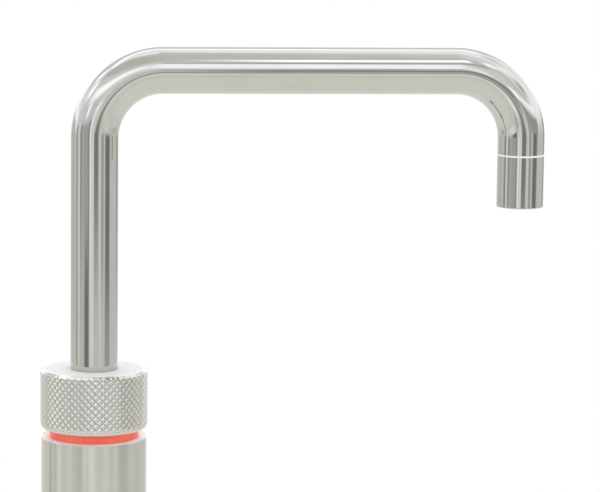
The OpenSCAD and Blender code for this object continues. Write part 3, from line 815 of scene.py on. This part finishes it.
# %% [markdown]
# ## The knurled knob
#
# The knob's skin is a fine grid whose lines pass through every crest and groove crossing.
# Each small square is split along the groove it lies in, so that the grooves stay straight.
# The lower edge is rounded, and there the knurl runs out. At the top a smooth chamfer leads
# to the plate's seat, and the last rings go down the bore and back to the foot.

# %% Knurled knob
KNOB_Z, KNOB_TOP_Z = (corner.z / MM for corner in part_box("knob_grip"))
CHAMFER_W, CHAMFER_H, LIP_W, LIP_H = 1.6, 1.2, 0.15, 0.11
GRIP_BORE_R, GRIP_EDGE, PLATE_SEAT_R, PLATE_Z = 21.25, 0.1, 22.6, 131.5
RUN_OUT_Z, RUN_OUT_H, HEAD_RUN_OUT = 0.8, 3, 0.5

knurl_h = KNOB_TOP_Z - KNOB_Z - CHAMFER_H
around_n = DIAMONDS * 2 * FINE
rows_n = HALF_ROWS * FINE
vertices, faces = [], []
for k in range(rows_n + 1):
    h = knurl_h * k / rows_n
    fade = smooth((h - RUN_OUT_Z) / RUN_OUT_H) * smooth((knurl_h - h) / HEAD_RUN_OUT + 0.5)
    vertices += ring(
        around_n,
        lambda j: (grip_outline(h) - KNURL_DEPTH * fade * groove_depth(j, k), KNOB_Z + h),
    )
for corner in [
    (KNOB_CREST_R - CHAMFER_W + LIP_W, KNOB_TOP_Z - LIP_H),
    (KNOB_CREST_R - CHAMFER_W, KNOB_TOP_Z), (PLATE_SEAT_R + 2 * SNUG, KNOB_TOP_Z),
    (PLATE_SEAT_R + SNUG, KNOB_TOP_Z - SNUG), (PLATE_SEAT_R + SNUG, PLATE_Z),
    (GRIP_BORE_R, PLATE_Z), (GRIP_BORE_R, KNOB_Z + GRIP_EDGE), (GRIP_BORE_R + GRIP_EDGE, KNOB_Z),
]:
    vertices += ring(around_n, lambda j: corner)
rings_n = len(vertices) // around_n
for index, (a, b, c, d) in enumerate(stitched(rings_n, around_n)):
    i, j = divmod(index, around_n)
    if i >= rows_n:
        faces.append((a, b, c, d))
    elif (j // FINE + i // FINE) % 2:
        faces += [(a, b, c), (a, c, d)]
    else:
        faces += [(a, b, d), (b, c, d)]
add_piece(
    "knurled_knob", vertices, faces, knurled_steel, "knob", "knob_grip",
    crease=32,
)

# %% [markdown]
# ## The knob's plate, the wiper and the light ring
#
# A faced plate closes the top of the knob, and a thin nylon wiper in it keeps water out of
# the bearing. Under the knob the light ring stands in the top of the column. Its rim is
# rounded, as any moulding's is.

# %% Plate, wiper and light ring
WIPER_R, WIPER_BORE_R, PLATE_BORE_R = 12.36, 11.06, 11.3
WIPER_LOW, WIPER_HIGH = (corner.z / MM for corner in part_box("knob_wiper"))
turned(
    "knob_plate",
    [
        (PLATE_SEAT_R, PLATE_Z, 0.1), (PLATE_SEAT_R, KNOB_TOP_Z, 0.12),
        (WIPER_R + SNUG, KNOB_TOP_Z, 0.04), (WIPER_R + SNUG, WIPER_LOW, 0.05),
        (PLATE_BORE_R, WIPER_LOW, 0.05), (PLATE_BORE_R, PLATE_Z, 0.1),
    ],
    plate_steel, "knob", "knob_cap",
)
turned(
    "nylon_wiper",
    [
        (WIPER_R, WIPER_LOW, 0.1), (WIPER_R, WIPER_HIGH, 0.04),
        (WIPER_BORE_R, WIPER_HIGH, 0.04), (WIPER_BORE_R, WIPER_LOW, 0.1),
    ],
    pale_nylon, "knob", "knob_wiper",
)
RING_R, RING_BORE_R, RING_FOOT_R = 20.75, 18.4, 19.55
RING_FOOT_Z, RING_TOP_Z = (corner.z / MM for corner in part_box("indicator_ring"))
RING_SEAT_Z = 101
turned(
    "glowing_ring",
    [
        (RING_BORE_R, RING_FOOT_Z, 0.15), (RING_FOOT_R, RING_FOOT_Z, 0.15),
        (RING_FOOT_R, RING_SEAT_Z, 0.1), (RING_R, RING_SEAT_Z, 0.1),
        (RING_R, RING_TOP_Z, 0.3), (RING_BORE_R, RING_TOP_Z, 0.3),
    ],
    ring_plastic, "column", "indicator_ring",
)

# %% [markdown]
# ## The column's shell and base
#
# The body is a thin satin shell over the working parts, and it stands on a base ring with a
# hairline between the two. The base ring goes up into the shell as a spigot with a groove
# for the seal, and a gasket sits in a step in its foot. Both are plain turning, with more
# sides than the small parts, because the column's outline is the longest one that shows.

# %% Shell and base
BODY_R, SHELL_BORE_R, PLATE_UNDER_Z, BASE_TOP_Z = 24.6, 23, 100, 4
BASE_BORE_R, GASKET_IN_R, GASKET_OUT_R, GASKET_H = 16.3, 18.9, 22, 1
SPIGOT_R, SPIGOT_TOP_Z = 22.95, 7
SEAL_GROOVE_R, SEAL_LOW_Z, SEAL_HIGH_Z = 21.9, 4.9, 6.1
BODY_SIDES = 192

shell = turned(
    "satin_shell",
    [
        (RING_FOOT_R + SNUG, PLATE_UNDER_Z, 0.05), (SHELL_BORE_R, PLATE_UNDER_Z, 0.1),
        (SHELL_BORE_R, BASE_TOP_Z, 0.1), (BODY_R, BASE_TOP_Z, 0.12),
        (BODY_R, BODY_TOP_Z, 0.35), (RING_R + SNUG, BODY_TOP_Z, 0.1),
        (RING_R + SNUG, RING_SEAT_Z, 0.05), (RING_FOOT_R + SNUG, RING_SEAT_Z, 0.05),
    ],
    satin_steel, "column", "body_shell", sides=BODY_SIDES,
)
turned(
    "satin_base",
    [
        (BASE_BORE_R, 0, 0.1), (GASKET_IN_R, 0, 0.05), (GASKET_IN_R, GASKET_H, 0.05),
        (GASKET_OUT_R, GASKET_H, 0.05), (GASKET_OUT_R, 0, 0.05), (BODY_R, 0, 0.3),
        (BODY_R, BASE_TOP_Z, 0.12), (SPIGOT_R, BASE_TOP_Z, 0.03),
        (SPIGOT_R, SEAL_LOW_Z, 0.03), (SEAL_GROOVE_R, SEAL_LOW_Z, 0.03),
        (SEAL_GROOVE_R, SEAL_HIGH_Z, 0.03), (SPIGOT_R, SEAL_HIGH_Z, 0.03),
        (SPIGOT_R, SPIGOT_TOP_Z, 0.1), (BASE_BORE_R, SPIGOT_TOP_Z, 0.1),
    ],
    satin_steel, "column", "base_ring", sides=BODY_SIDES,
)

# %% [markdown]
# ## The hole for the shell's screw
#
# One small grub screw at the back holds the shell on its base. A turned profile has no side
# holes, so the shell's mesh is drilled with a boolean, as the real one is drilled after
# turning. The modifier's result is kept as the mesh, and the drill is taken away again.

# %% Drill the shell
GRUB_Z, GRUB_HOLE_R, DRILL_LENGTH, DRILL_SIDES = 11, 2.05, 6, 48
SHELL_CREASE = 40

drill = bmesh.new()
across_shell = Matrix.Rotation(math.pi / 2, 4, "X")
bmesh.ops.create_cone(
    drill, cap_ends=True, segments=DRILL_SIDES, radius1=GRUB_HOLE_R * MM,
    radius2=GRUB_HOLE_R * MM, depth=DRILL_LENGTH * MM,
    matrix=Matrix.Translation((0, BODY_R * MM, GRUB_Z * MM)) @ across_shell,
)
drill_mesh = bpy.data.meshes.new("drill")
drill.to_mesh(drill_mesh)
drill.free()
drill_tool = bpy.data.objects.new("drill", drill_mesh)
bpy.context.scene.collection.objects.link(drill_tool)
cut = shell.modifiers.new("grub_hole", "BOOLEAN")
cut.operation, cut.solver, cut.object = "DIFFERENCE", "EXACT", drill_tool
bpy.context.view_layer.update()
drilled = bpy.data.meshes.new_from_object(
    shell.evaluated_get(bpy.context.evaluated_depsgraph_get())
)
shell.modifiers.clear()
shell.data = drilled
drilled.shade_smooth()
drilled.set_sharp_from_angle(angle=math.radians(SHELL_CREASE))
bpy.data.objects.remove(drill_tool)
print("shell drilled:", len(drilled.polygons), "faces")

# %% [markdown]
# ## Under the worktop
#
# A threaded brass tail passes through the worktop. A rubber washer, a steel washer and a
# large nut clamp it from below, and the steel inlet pipe comes out of its end. In the CAD
# solid a row of plain grooves stands for the thread. Here the groove is one helix, which
# winds down the tail at the same pitch and depth and runs out at both ends.

# %% Threaded tail
TAIL_R, TAIL_BORE_R, TAIL_TOP_Z, TAIL_END_Z = 16, 12.9, 19, -62
THREAD_TOP_Z, THREAD_END_Z, PITCH, THREAD_DEPTH = -10, -60, 2, 0.9
TAIL_SIDES, ROWS_PER_TURN = 96, 10
VALLEY_SLOPE, VALLEY_FLAT = 1.1, 0.05
END_CHAMFER, TOP_CHAMFER = 0.6, 0.3


def thread_r(z, share):
    """The thread's radius at a height and a share of the turn."""
    run_out = smooth((THREAD_TOP_Z - z) / PITCH) * smooth((z - THREAD_END_Z) / PITCH)
    phase = (z / PITCH - share) % 1
    valley = smooth(1 - abs(2 * phase - 1) * VALLEY_SLOPE + VALLEY_FLAT)
    return TAIL_R - THREAD_DEPTH * run_out * valley


def plain_rings(corners):
    return [point for corner in corners for point in ring(TAIL_SIDES, lambda j: corner)]


vertices = plain_rings([
    (TAIL_BORE_R, TAIL_END_Z), (TAIL_R - END_CHAMFER, TAIL_END_Z),
    (TAIL_R, TAIL_END_Z + END_CHAMFER),
])
thread_rows = round((THREAD_TOP_Z - THREAD_END_Z) / PITCH * ROWS_PER_TURN)
for k in range(thread_rows + 1):
    z = THREAD_END_Z + (THREAD_TOP_Z - THREAD_END_Z) * k / thread_rows
    vertices += ring(TAIL_SIDES, lambda j: (thread_r(z, j / TAIL_SIDES), z))
vertices += plain_rings([
    (TAIL_R, TAIL_TOP_Z - TOP_CHAMFER), (TAIL_R - TOP_CHAMFER, TAIL_TOP_Z),
    (TAIL_BORE_R, TAIL_TOP_Z),
])
faces = stitched(len(vertices) // TAIL_SIDES, TAIL_SIDES)
add_piece(
    "threaded_tail", vertices, faces, turned_brass, "column", "threaded_shank",
    crease=60,
)

# %% [markdown]
# ## The back nut
#
# The nut is a hexagon whose corners are turned off at 30 degrees on both faces. At each
# angle the hexagon's radius says how far down the chamfer reaches, so the outline worked out
# angle by angle makes the curved line where cone and flats meet.

# %% Back nut
NUT_TOP_Z, NUT_H, NUT_FLAT_R, NUT_BORE_R = -35, 10, 22, 16.05
NUT_BORE_CHAMFER, NUT_FACE_IN, CHAMFER_SLOPE = 0.5, 0.4, math.tan(math.radians(30))
PER_FLAT = 16
NUT_SIDES = 6 * PER_FLAT


def nut_outline(j):
    """The eight corners of the nut's section at point j of its round."""
    # the corners stand where the CAD hexagon has them, at 0, 60, 120 ... degrees
    off = (2 * math.pi * j / NUT_SIDES % (math.pi / 3)) - math.pi / 6
    hexagon = NUT_FLAT_R / math.cos(off)
    fall = (hexagon - NUT_FLAT_R + NUT_FACE_IN) * CHAMFER_SLOPE
    low, high = NUT_TOP_Z - NUT_H, NUT_TOP_Z
    face_r, mouth_r = NUT_FLAT_R - NUT_FACE_IN, NUT_BORE_R + NUT_BORE_CHAMFER
    return [
        (NUT_BORE_R, low + NUT_BORE_CHAMFER), (mouth_r, low), (face_r, low),
        (hexagon, low + fall), (hexagon, high - fall), (face_r, high),
        (mouth_r, high), (NUT_BORE_R, high - NUT_BORE_CHAMFER),
    ]


levels = len(nut_outline(0))
vertices = []
for level in range(levels):
    vertices += ring(NUT_SIDES, lambda j: nut_outline(j)[level])
add_piece(
    "back_nut", vertices, stitched(levels, NUT_SIDES), turned_brass, "column", "clamp_nut",
    crease=20,
)

# %% [markdown]
# ## The return spring
#
# Spring wire is wound cold into a coil of four turns. It stands round the neck of the column
# inside the body, and holds the slider and the knob up. Pressing the knob squeezes it by the
# knob's travel.

# %% Return spring
SPRING_LOW, SPRING_HIGH = (corner.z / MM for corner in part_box("return_spring"))
SPRING_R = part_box("return_spring")[1].x / MM
WIRE_R, TURNS, TURN_STEPS, WIRE_STEPS = 0.55, 4, 48, 12

coil_r = SPRING_R - WIRE_R
coil_h = SPRING_HIGH - SPRING_LOW - 2 * WIRE_R
last = TURNS * TURN_STEPS
vertices, faces = [], []
for i in range(last + 1):
    a = 2 * math.pi * i / TURN_STEPS
    middle_z = SPRING_LOW + WIRE_R + coil_h * i / last
    for j in range(WIRE_STEPS):
        b = 2 * math.pi * j / WIRE_STEPS
        r = coil_r + WIRE_R * math.cos(b)
        vertices.append((r * math.cos(a), r * math.sin(a), middle_z + WIRE_R * math.sin(b)))
for i in range(last):
    for j in range(WIRE_STEPS):
        this, beside = i * WIRE_STEPS + j, i * WIRE_STEPS + (j + 1) % WIRE_STEPS
        faces.append((this, this + WIRE_STEPS, beside + WIRE_STEPS, beside))
faces.append(tuple(range(WIRE_STEPS)))
faces.append(tuple(last * WIRE_STEPS + j for j in reversed(range(WIRE_STEPS))))
spring = add_piece(
    "coil_spring", vertices, faces, wire_steel, "column", "return_spring",
    crease=40,
)
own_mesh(spring)

# %% [markdown]
# ## Washers and gasket
#
# These are plain flat rings round the column's own axis. The rubber ones are cut or moulded
# and the steel washer is stamped, so a section of four corners is all that each needs. The
# rubber's edges are rounder than the steel's.

# %% Washers and gasket
WASHER_R, WASHER_BORE_R, RUBBER_TOP_Z, RUBBER_FOOT_Z = 26, 16.3, -30, -33


def flat_ring(bore_r, r, low, high, bore_edge, edge):
    """The section of a washer, with its bore's and its outer edges rounded off."""
    return [(bore_r, low, bore_edge), (r, low, edge), (r, high, edge), (bore_r, high, bore_edge)]


turned(
    "rubber_sealing_washer",
    flat_ring(WASHER_BORE_R, WASHER_R, RUBBER_FOOT_Z, RUBBER_TOP_Z, 0.3, 0.6),
    rubber, "column", "rubber_washer",
)
turned(
    "steel_backing_washer",
    flat_ring(WASHER_BORE_R, WASHER_R, NUT_TOP_Z, RUBBER_FOOT_Z, 0.15, 0.35),
    wire_steel, "column", "steel_washer",
)
turned(
    "foot_gasket",
    flat_ring(GASKET_IN_R + SNUG, GASKET_OUT_R - SNUG, 0, GASKET_H, 0.2, 0.2),
    rubber, "column", "base_gasket",
)

# %% [markdown]
# ## The inlet pipe and the mouth's lip
#
# The inlet pipe is drawn steel tube with a bead rolled near its plug, so it can't slip. The
# lip is a turned ring that holds the mesh in the nozzle's mouth. The pipe stands on the
# column's axis, and the lip on the axis of the outlet, one reach further along x.

# %% Inlet pipe and lip
INLET_R, INLET_BORE_R, INLET_END_Z, INLET_TOP_Z = 4, 3.2, -110, 25
BEAD_R, BEAD_LOW_Z, BEAD_HIGH_Z = 5.2, -66, -64
turned(
    "inlet_pipe",
    [
        (INLET_BORE_R, INLET_END_Z, 0.15), (INLET_R, INLET_END_Z, 0.3),
        (INLET_R, BEAD_LOW_Z, 0.3), (BEAD_R, BEAD_LOW_Z, 0.5), (BEAD_R, BEAD_HIGH_Z, 0.5),
        (INLET_R, BEAD_HIGH_Z, 0.1), (INLET_R, INLET_TOP_Z, 0.2),
        (INLET_BORE_R, INLET_TOP_Z, 0.2),
    ],
    polished_steel, "column", "inlet_tube", sides=72,
)
LIP_R, LIP_BORE_R = 9.45, 8.15
MOUTH_LOW, MOUTH_HIGH = (corner.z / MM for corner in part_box("mouth_ring"))
turned(
    "mouth_lip",
    [
        (LIP_BORE_R, MOUTH_LOW, 0.3), (LIP_R, MOUTH_LOW, 0.3),
        (LIP_R, MOUTH_HIGH, 0.1), (LIP_BORE_R, MOUTH_HIGH, 0.1),
    ],
    polished_steel, "spout", "mouth_ring", REACH,
)

# %% [markdown]
# ## The studio
#
# Polished steel has almost no look of its own: it shows what stands around it. The studio is
# painted on the world as soft-edged cards, each with a place, a size and a level of light.
# Azimuth is counted from straight in front of the tap towards its spout, and elevation from
# the horizon. Upright dark cards near the horizon become the stripes on the upright tube,
# wide cards higher up become the bands on the level tube, and bright light behind the tap
# fills the flat top of the knob. A later card is painted over the ones before it.

# %% Studio cards
COOL, PLAIN, WARM = (0.95, 1, 1.08), (0.975, 1, 1.01), (1.035, 1, 0.97)
SKY = (0.985, 1, 1.07)
# azimuth from, to and softness; elevation from, to and softness; level; tint
CARDS = [
    # wide fields over the tap
    (-181, 181, 1, 3, 91, 4, 0.88, PLAIN),
    (-181, -95, 30, 3, 91, 5, 1.4, SKY),
    (75, 181, 25, 3, 80, 8, 1.45, SKY),
    (34, 80, 12, 54, 76, 8, 1.15, SKY),
    (-105, 0, 14, 44, 75, 6, 0.76, WARM),
    (-75, 45, 10, 5, 44, 6, 1.05, SKY),
    # the far side's stripes run on round the left bend
    (-181, -112, 10, 50, 56, 2, 2.1, SKY),
    (-181, -118, 10, 22, 47, 3, 0.95, SKY),
    # in front, to the left
    (-76, 2, 10, 20, 34, 3, 1.5, SKY),
    (-58, -12, 10, 24, 32, 3, 1.75, SKY),
    (-61, -51, 4, 9, 19, 4, 1.65, SKY),
    (-48, -27, 4, 8, 17, 3, 0.88, COOL),
    (-78, -64, 3, 8, 18, 4, 0.95, COOL),
    (-106, -82, 6, 2, 20, 4, 1.0, COOL),
    (-84, -76, 4, 18, 42, 5, 0.95, PLAIN),
    (-78, -64, 3, -5, 8, 3, 0.88, PLAIN),
    (-64, -30, 4, -3, 7, 3, 0.86, COOL),
    (-26, -16, 3, -4, 7, 3, 1.6, SKY),
    (-14, -3, 4, -3, 6, 3, 0.95, PLAIN),
    (-101, -87, 4, 25, 38, 4, 1.95, SKY),
    (-128, -112, 5, 34, 46, 4, 1.85, SKY),
    (-140, -108, 6, 0, 10, 3, 1.5, SKY),
    (-134, -104, 8, 14, 24, 5, 1.15, SKY),
    # in front, to the right
    (0, 13, 4, 14, 35, 3, 1.6, SKY),
    (13, 20, 3, 3, 22, 4, 1.45, SKY),
    (4, 36, 6, 35, 41, 2, 0.55, PLAIN),
    (6, 10, 1.5, -2, 12, 3, 0.6, COOL),
    (8, 26, 2, 46, 55.5, 2, 2.1, SKY),
    (30, 40, 4, 44, 56, 5, 0.9, PLAIN),
    (43, 62, 6, 43, 54, 4, 1.8, SKY),
    (60, 100, 8, 38, 50, 5, 1.5, SKY),
    (58, 66, 4, 26, 40, 5, 1.35, SKY),
    (67, 85, 5, 23, 33, 5, 0.7, COOL),
    (38, 86, 6, 9.5, 15, 2.5, 1.55, SKY),
    (28, 35, 2.5, 7.5, 13.5, 2, 1.95, SKY),
    (20, 84, 5, -4, 6.5, 1.5, 0.5, COOL),
    (100, 128, 8, 46, 60, 5, 1.05, PLAIN),
    (110, 122, 5, 22, 44, 6, 1.2, PLAIN),
    # behind the tap
    (140, 181, 8, 50, 56, 2, 2.1, SKY),
    (140, 181, 8, 20, 48, 3, 0.95, SKY),
    (-181, -140, 6, 4, 22, 3, 1.6, SKY),
    (140, 181, 6, 4, 18, 3, 1.6, SKY),
    # the worktop's far edge all round, where the upright stripes are
    (-181, 181, 1, -17, -3, 4, 0.84, PLAIN),
    (-181, 181, 1, -30, -12, 1.5, 0.94, PLAIN),
    (-152, -129, 4, -9.5, 4, 1.5, 0.74, PLAIN),
    (-128, -117, 3, -9.5, 4, 1.5, 0.7, PLAIN),
    (-102, -92, 2, -11.5, 4, 2, 0.54, PLAIN),
    (-88, -78, 1.5, -12, 6, 3, 1.0, PLAIN),
    (-77, -54, 1.5, -12, 4, 3, 0.8, WARM),
    (-77, -65, 1.5, -8.8, 4, 2, 0.48, WARM),
    (-65, -55, 1.5, -8.8, 4, 2, 0.64, WARM),
    (-55, -29.5, 1.5, -12, 3, 2, 0.58, COOL),
    (-50, -29.5, 1.5, -12, -8.4, 1, 0.27, COOL),
    (-34, -29.5, 1, -10, 3, 1, 0.36, COOL),
    (-25, -7, 1.5, -12, 3, 2, 1.02, PLAIN),
    (-25, -20, 1, -9, 6, 2, 1.35, COOL),
    (-12, -8, 1, -12, 3, 2, 1.15, PLAIN),
    (-5, 15, 2.5, -8.6, 8, 2, 0.3, WARM),
    (-10, 26, 2, -5.4, 9, 0.7, 0.88, PLAIN),
    (4.5, 24, 2, -2.8, 6.5, 1, 0.4, PLAIN),
    (21, 31, 2, -12, 2, 3, 0.97, PLAIN),
    (29.5, 42, 1.5, -9.4, 2, 1, 0.54, WARM),
    (50, 78, 1.5, -12, 0, 2, 0.5, PLAIN),
    (53, 72, 2.5, -9.6, -3, 1, 0.27, COOL),
    (97, 104, 2, -12, 2, 2, 0.82, PLAIN),
    (124, 150, 4, -9.5, 2, 2, 0.54, PLAIN),
]
print("studio cards:", len(CARDS))

# %% [markdown]
# ## The stripes that the body mirrors
#
# The satin body mirrors a lower band of the studio than the spout does, and shows a dozen
# fainter stripes in it. They all have the same height, so they need no cards of their own:
# one colour ramp round the whole horizon holds them, and costs the renderer a single node.

# %% Body stripes
# azimuth and level of light
BODY_STRIPES = [
    (-119.5, 0.89), (-116.5, 0.5), (-109.5, 0.5), (-106.5, 0.89), (-93, 0.89), (-87, 1.0),
    (-65, 1.01), (-59, 1.16), (-46, 1.17), (-40, 1.01), (-31, 0.98), (-24, 0.64), (-19, 0.67),
    (-13, 0.86), (-11, 0.9), (-7, 1.31), (-2, 1.31), (4, 1.06), (19, 1.03), (26, 0.97),
    (45, 0.99), (57, 1.05), (61, 0.87), (64, 0.85), (68, 0.91), (77, 0.87), (82, 0.78),
    (96, 0.78), (104, 0.72), (112, 0.69), (120, 0.83),
]
BODY_TINT = (1, 1, 0.985)
FULL_TURN = 360

stops = [
    (0.5 + turn / FULL_TURN, tuple(level * part for part in BODY_TINT))
    for turn, level in BODY_STRIPES
]
print("stops round the body:", len(stops))

# %% [markdown]
# ## Painting the world
#
# The world's shader turns each direction of view into azimuth and elevation. Every card is a
# mask of soft slopes in the two, and mixes its light over what is there. A card that goes
# all round, or up over the top, needs no slope on that side. The ramp of body stripes is
# mixed in last, in its own band. The camera itself sees plain white.

# %% World
FAR_GROUND, NEAR_GROUND = (0.97, 0.97, 0.95), (1.0, 1.0, 0.97)

world = bpy.data.worlds.new("studio")
world.use_nodes = True
world.node_tree.nodes.clear()
start = Wire(world.node_tree)
east, north, height = separate(start.node("ShaderNodeTexCoord", out="Generated"))
DEGREES = 180 / math.pi
azimuth = east.maths("ARCTAN2", east, -north) * DEGREES
elevation = height.maths("ARCSINE", height) * DEGREES

light = elevation.rise(-40, -8).mix(NEAR_GROUND, FAR_GROUND)
for left_a, right_a, soft_a, low_e, high_e, soft_e, level, tint in CARDS:
    mask = elevation.rise(low_e - soft_e, low_e + soft_e)
    if high_e < 90:
        mask = mask * elevation.rise(high_e + soft_e, high_e - soft_e)
    if left_a > -180:
        mask = mask * azimuth.rise(left_a - soft_a, left_a + soft_a)
    if right_a < 180:
        mask = mask * azimuth.rise(right_a + soft_a, right_a - soft_a)
    light = mask.mix(light, tuple(level * part for part in tint))
body_light = azimuth.node(
    "ShaderNodeValToRGB", {"stops": stops}, {"Fac": 0.5 + azimuth * (1 / FULL_TURN)}
)
body_band = elevation.rise(-20, -17.5) * elevation.rise(-11, -13)
light = body_band.mix(light, body_light)
seen = start.node("ShaderNodeLightPath", out="Is Camera Ray")
shade = start.node("ShaderNodeBackground", None, {"Color": seen.mix(light, (1, 1, 1))})
start.node("ShaderNodeOutputWorld", None, {"Surface": shade})
bpy.context.scene.world = world
print("nodes in the world:", len(world.node_tree.nodes))

# %% [markdown]
# ## The floor
#
# The floor is a wide pale disc just under the lowest part of the tap, so that the fixing
# under the worktop shows too. Its material mixes two whites: a matte one, which keeps the
# tap's soft shadow, and an even one, which the camera and the steel see. Near the tap they
# share evenly, and towards the rim the even one takes over, so the rim doesn't show.

# %% Floor
FLOOR_R, FLOOR_GAP, FLOOR_SIDES = 0.6, 0.0005, 128
SHARED_TO_R, EVEN_FROM_R = 0.25, 0.58
MATTE_WHITE, MIRRORED_WHITE = (0.86, 0.86, 0.835), (1, 1, 0.965)

floor_z = cad_box[0].z - FLOOR_GAP
floor_mesh = bpy.data.meshes.new("studio_floor")
floor_mesh.from_pydata(
    ring(FLOOR_SIDES, lambda j: (FLOOR_R, floor_z)), [], [tuple(range(FLOOR_SIDES))]
)
floor = bpy.data.objects.new("studio_floor", floor_mesh)
bpy.context.scene.collection.objects.link(floor)
paper = bpy.data.materials.new("white_paper")
paper.use_nodes = True
paper.node_tree.nodes.clear()
start = Wire(paper.node_tree)
paths = start.node("ShaderNodeLightPath")
by_camera, by_gloss, by_glass = (
    Wire(start.tree, paths.socket.node.outputs[f"Is {kind} Ray"])
    for kind in ("Camera", "Glossy", "Transmission")
)
direct = by_camera.maths("MAXIMUM", by_camera.maths("MAXIMUM", by_camera, by_gloss), by_glass)
across, along, _ = separate(start.node("ShaderNodeTexCoord", out="Object"))
matte = start.node("ShaderNodeBsdfDiffuse", None, {"Color": MATTE_WHITE})
white = start.node(
    "ShaderNodeEmission", None,
    {"Color": by_camera.mix(MIRRORED_WHITE, (1, 1, 1)), "Strength": 1},
)
even = direct * (0.5 + 0.5 * from_axis(across, along).rise(SHARED_TO_R, EVEN_FROM_R))
mixed = start.node("ShaderNodeMixShader", None, {0: even, 1: matte, 2: white})
start.node("ShaderNodeOutputMaterial", None, {"Surface": mixed})
floor_mesh.materials.append(paper)
print(f"floor at {floor_z / MM:.1f} mm")
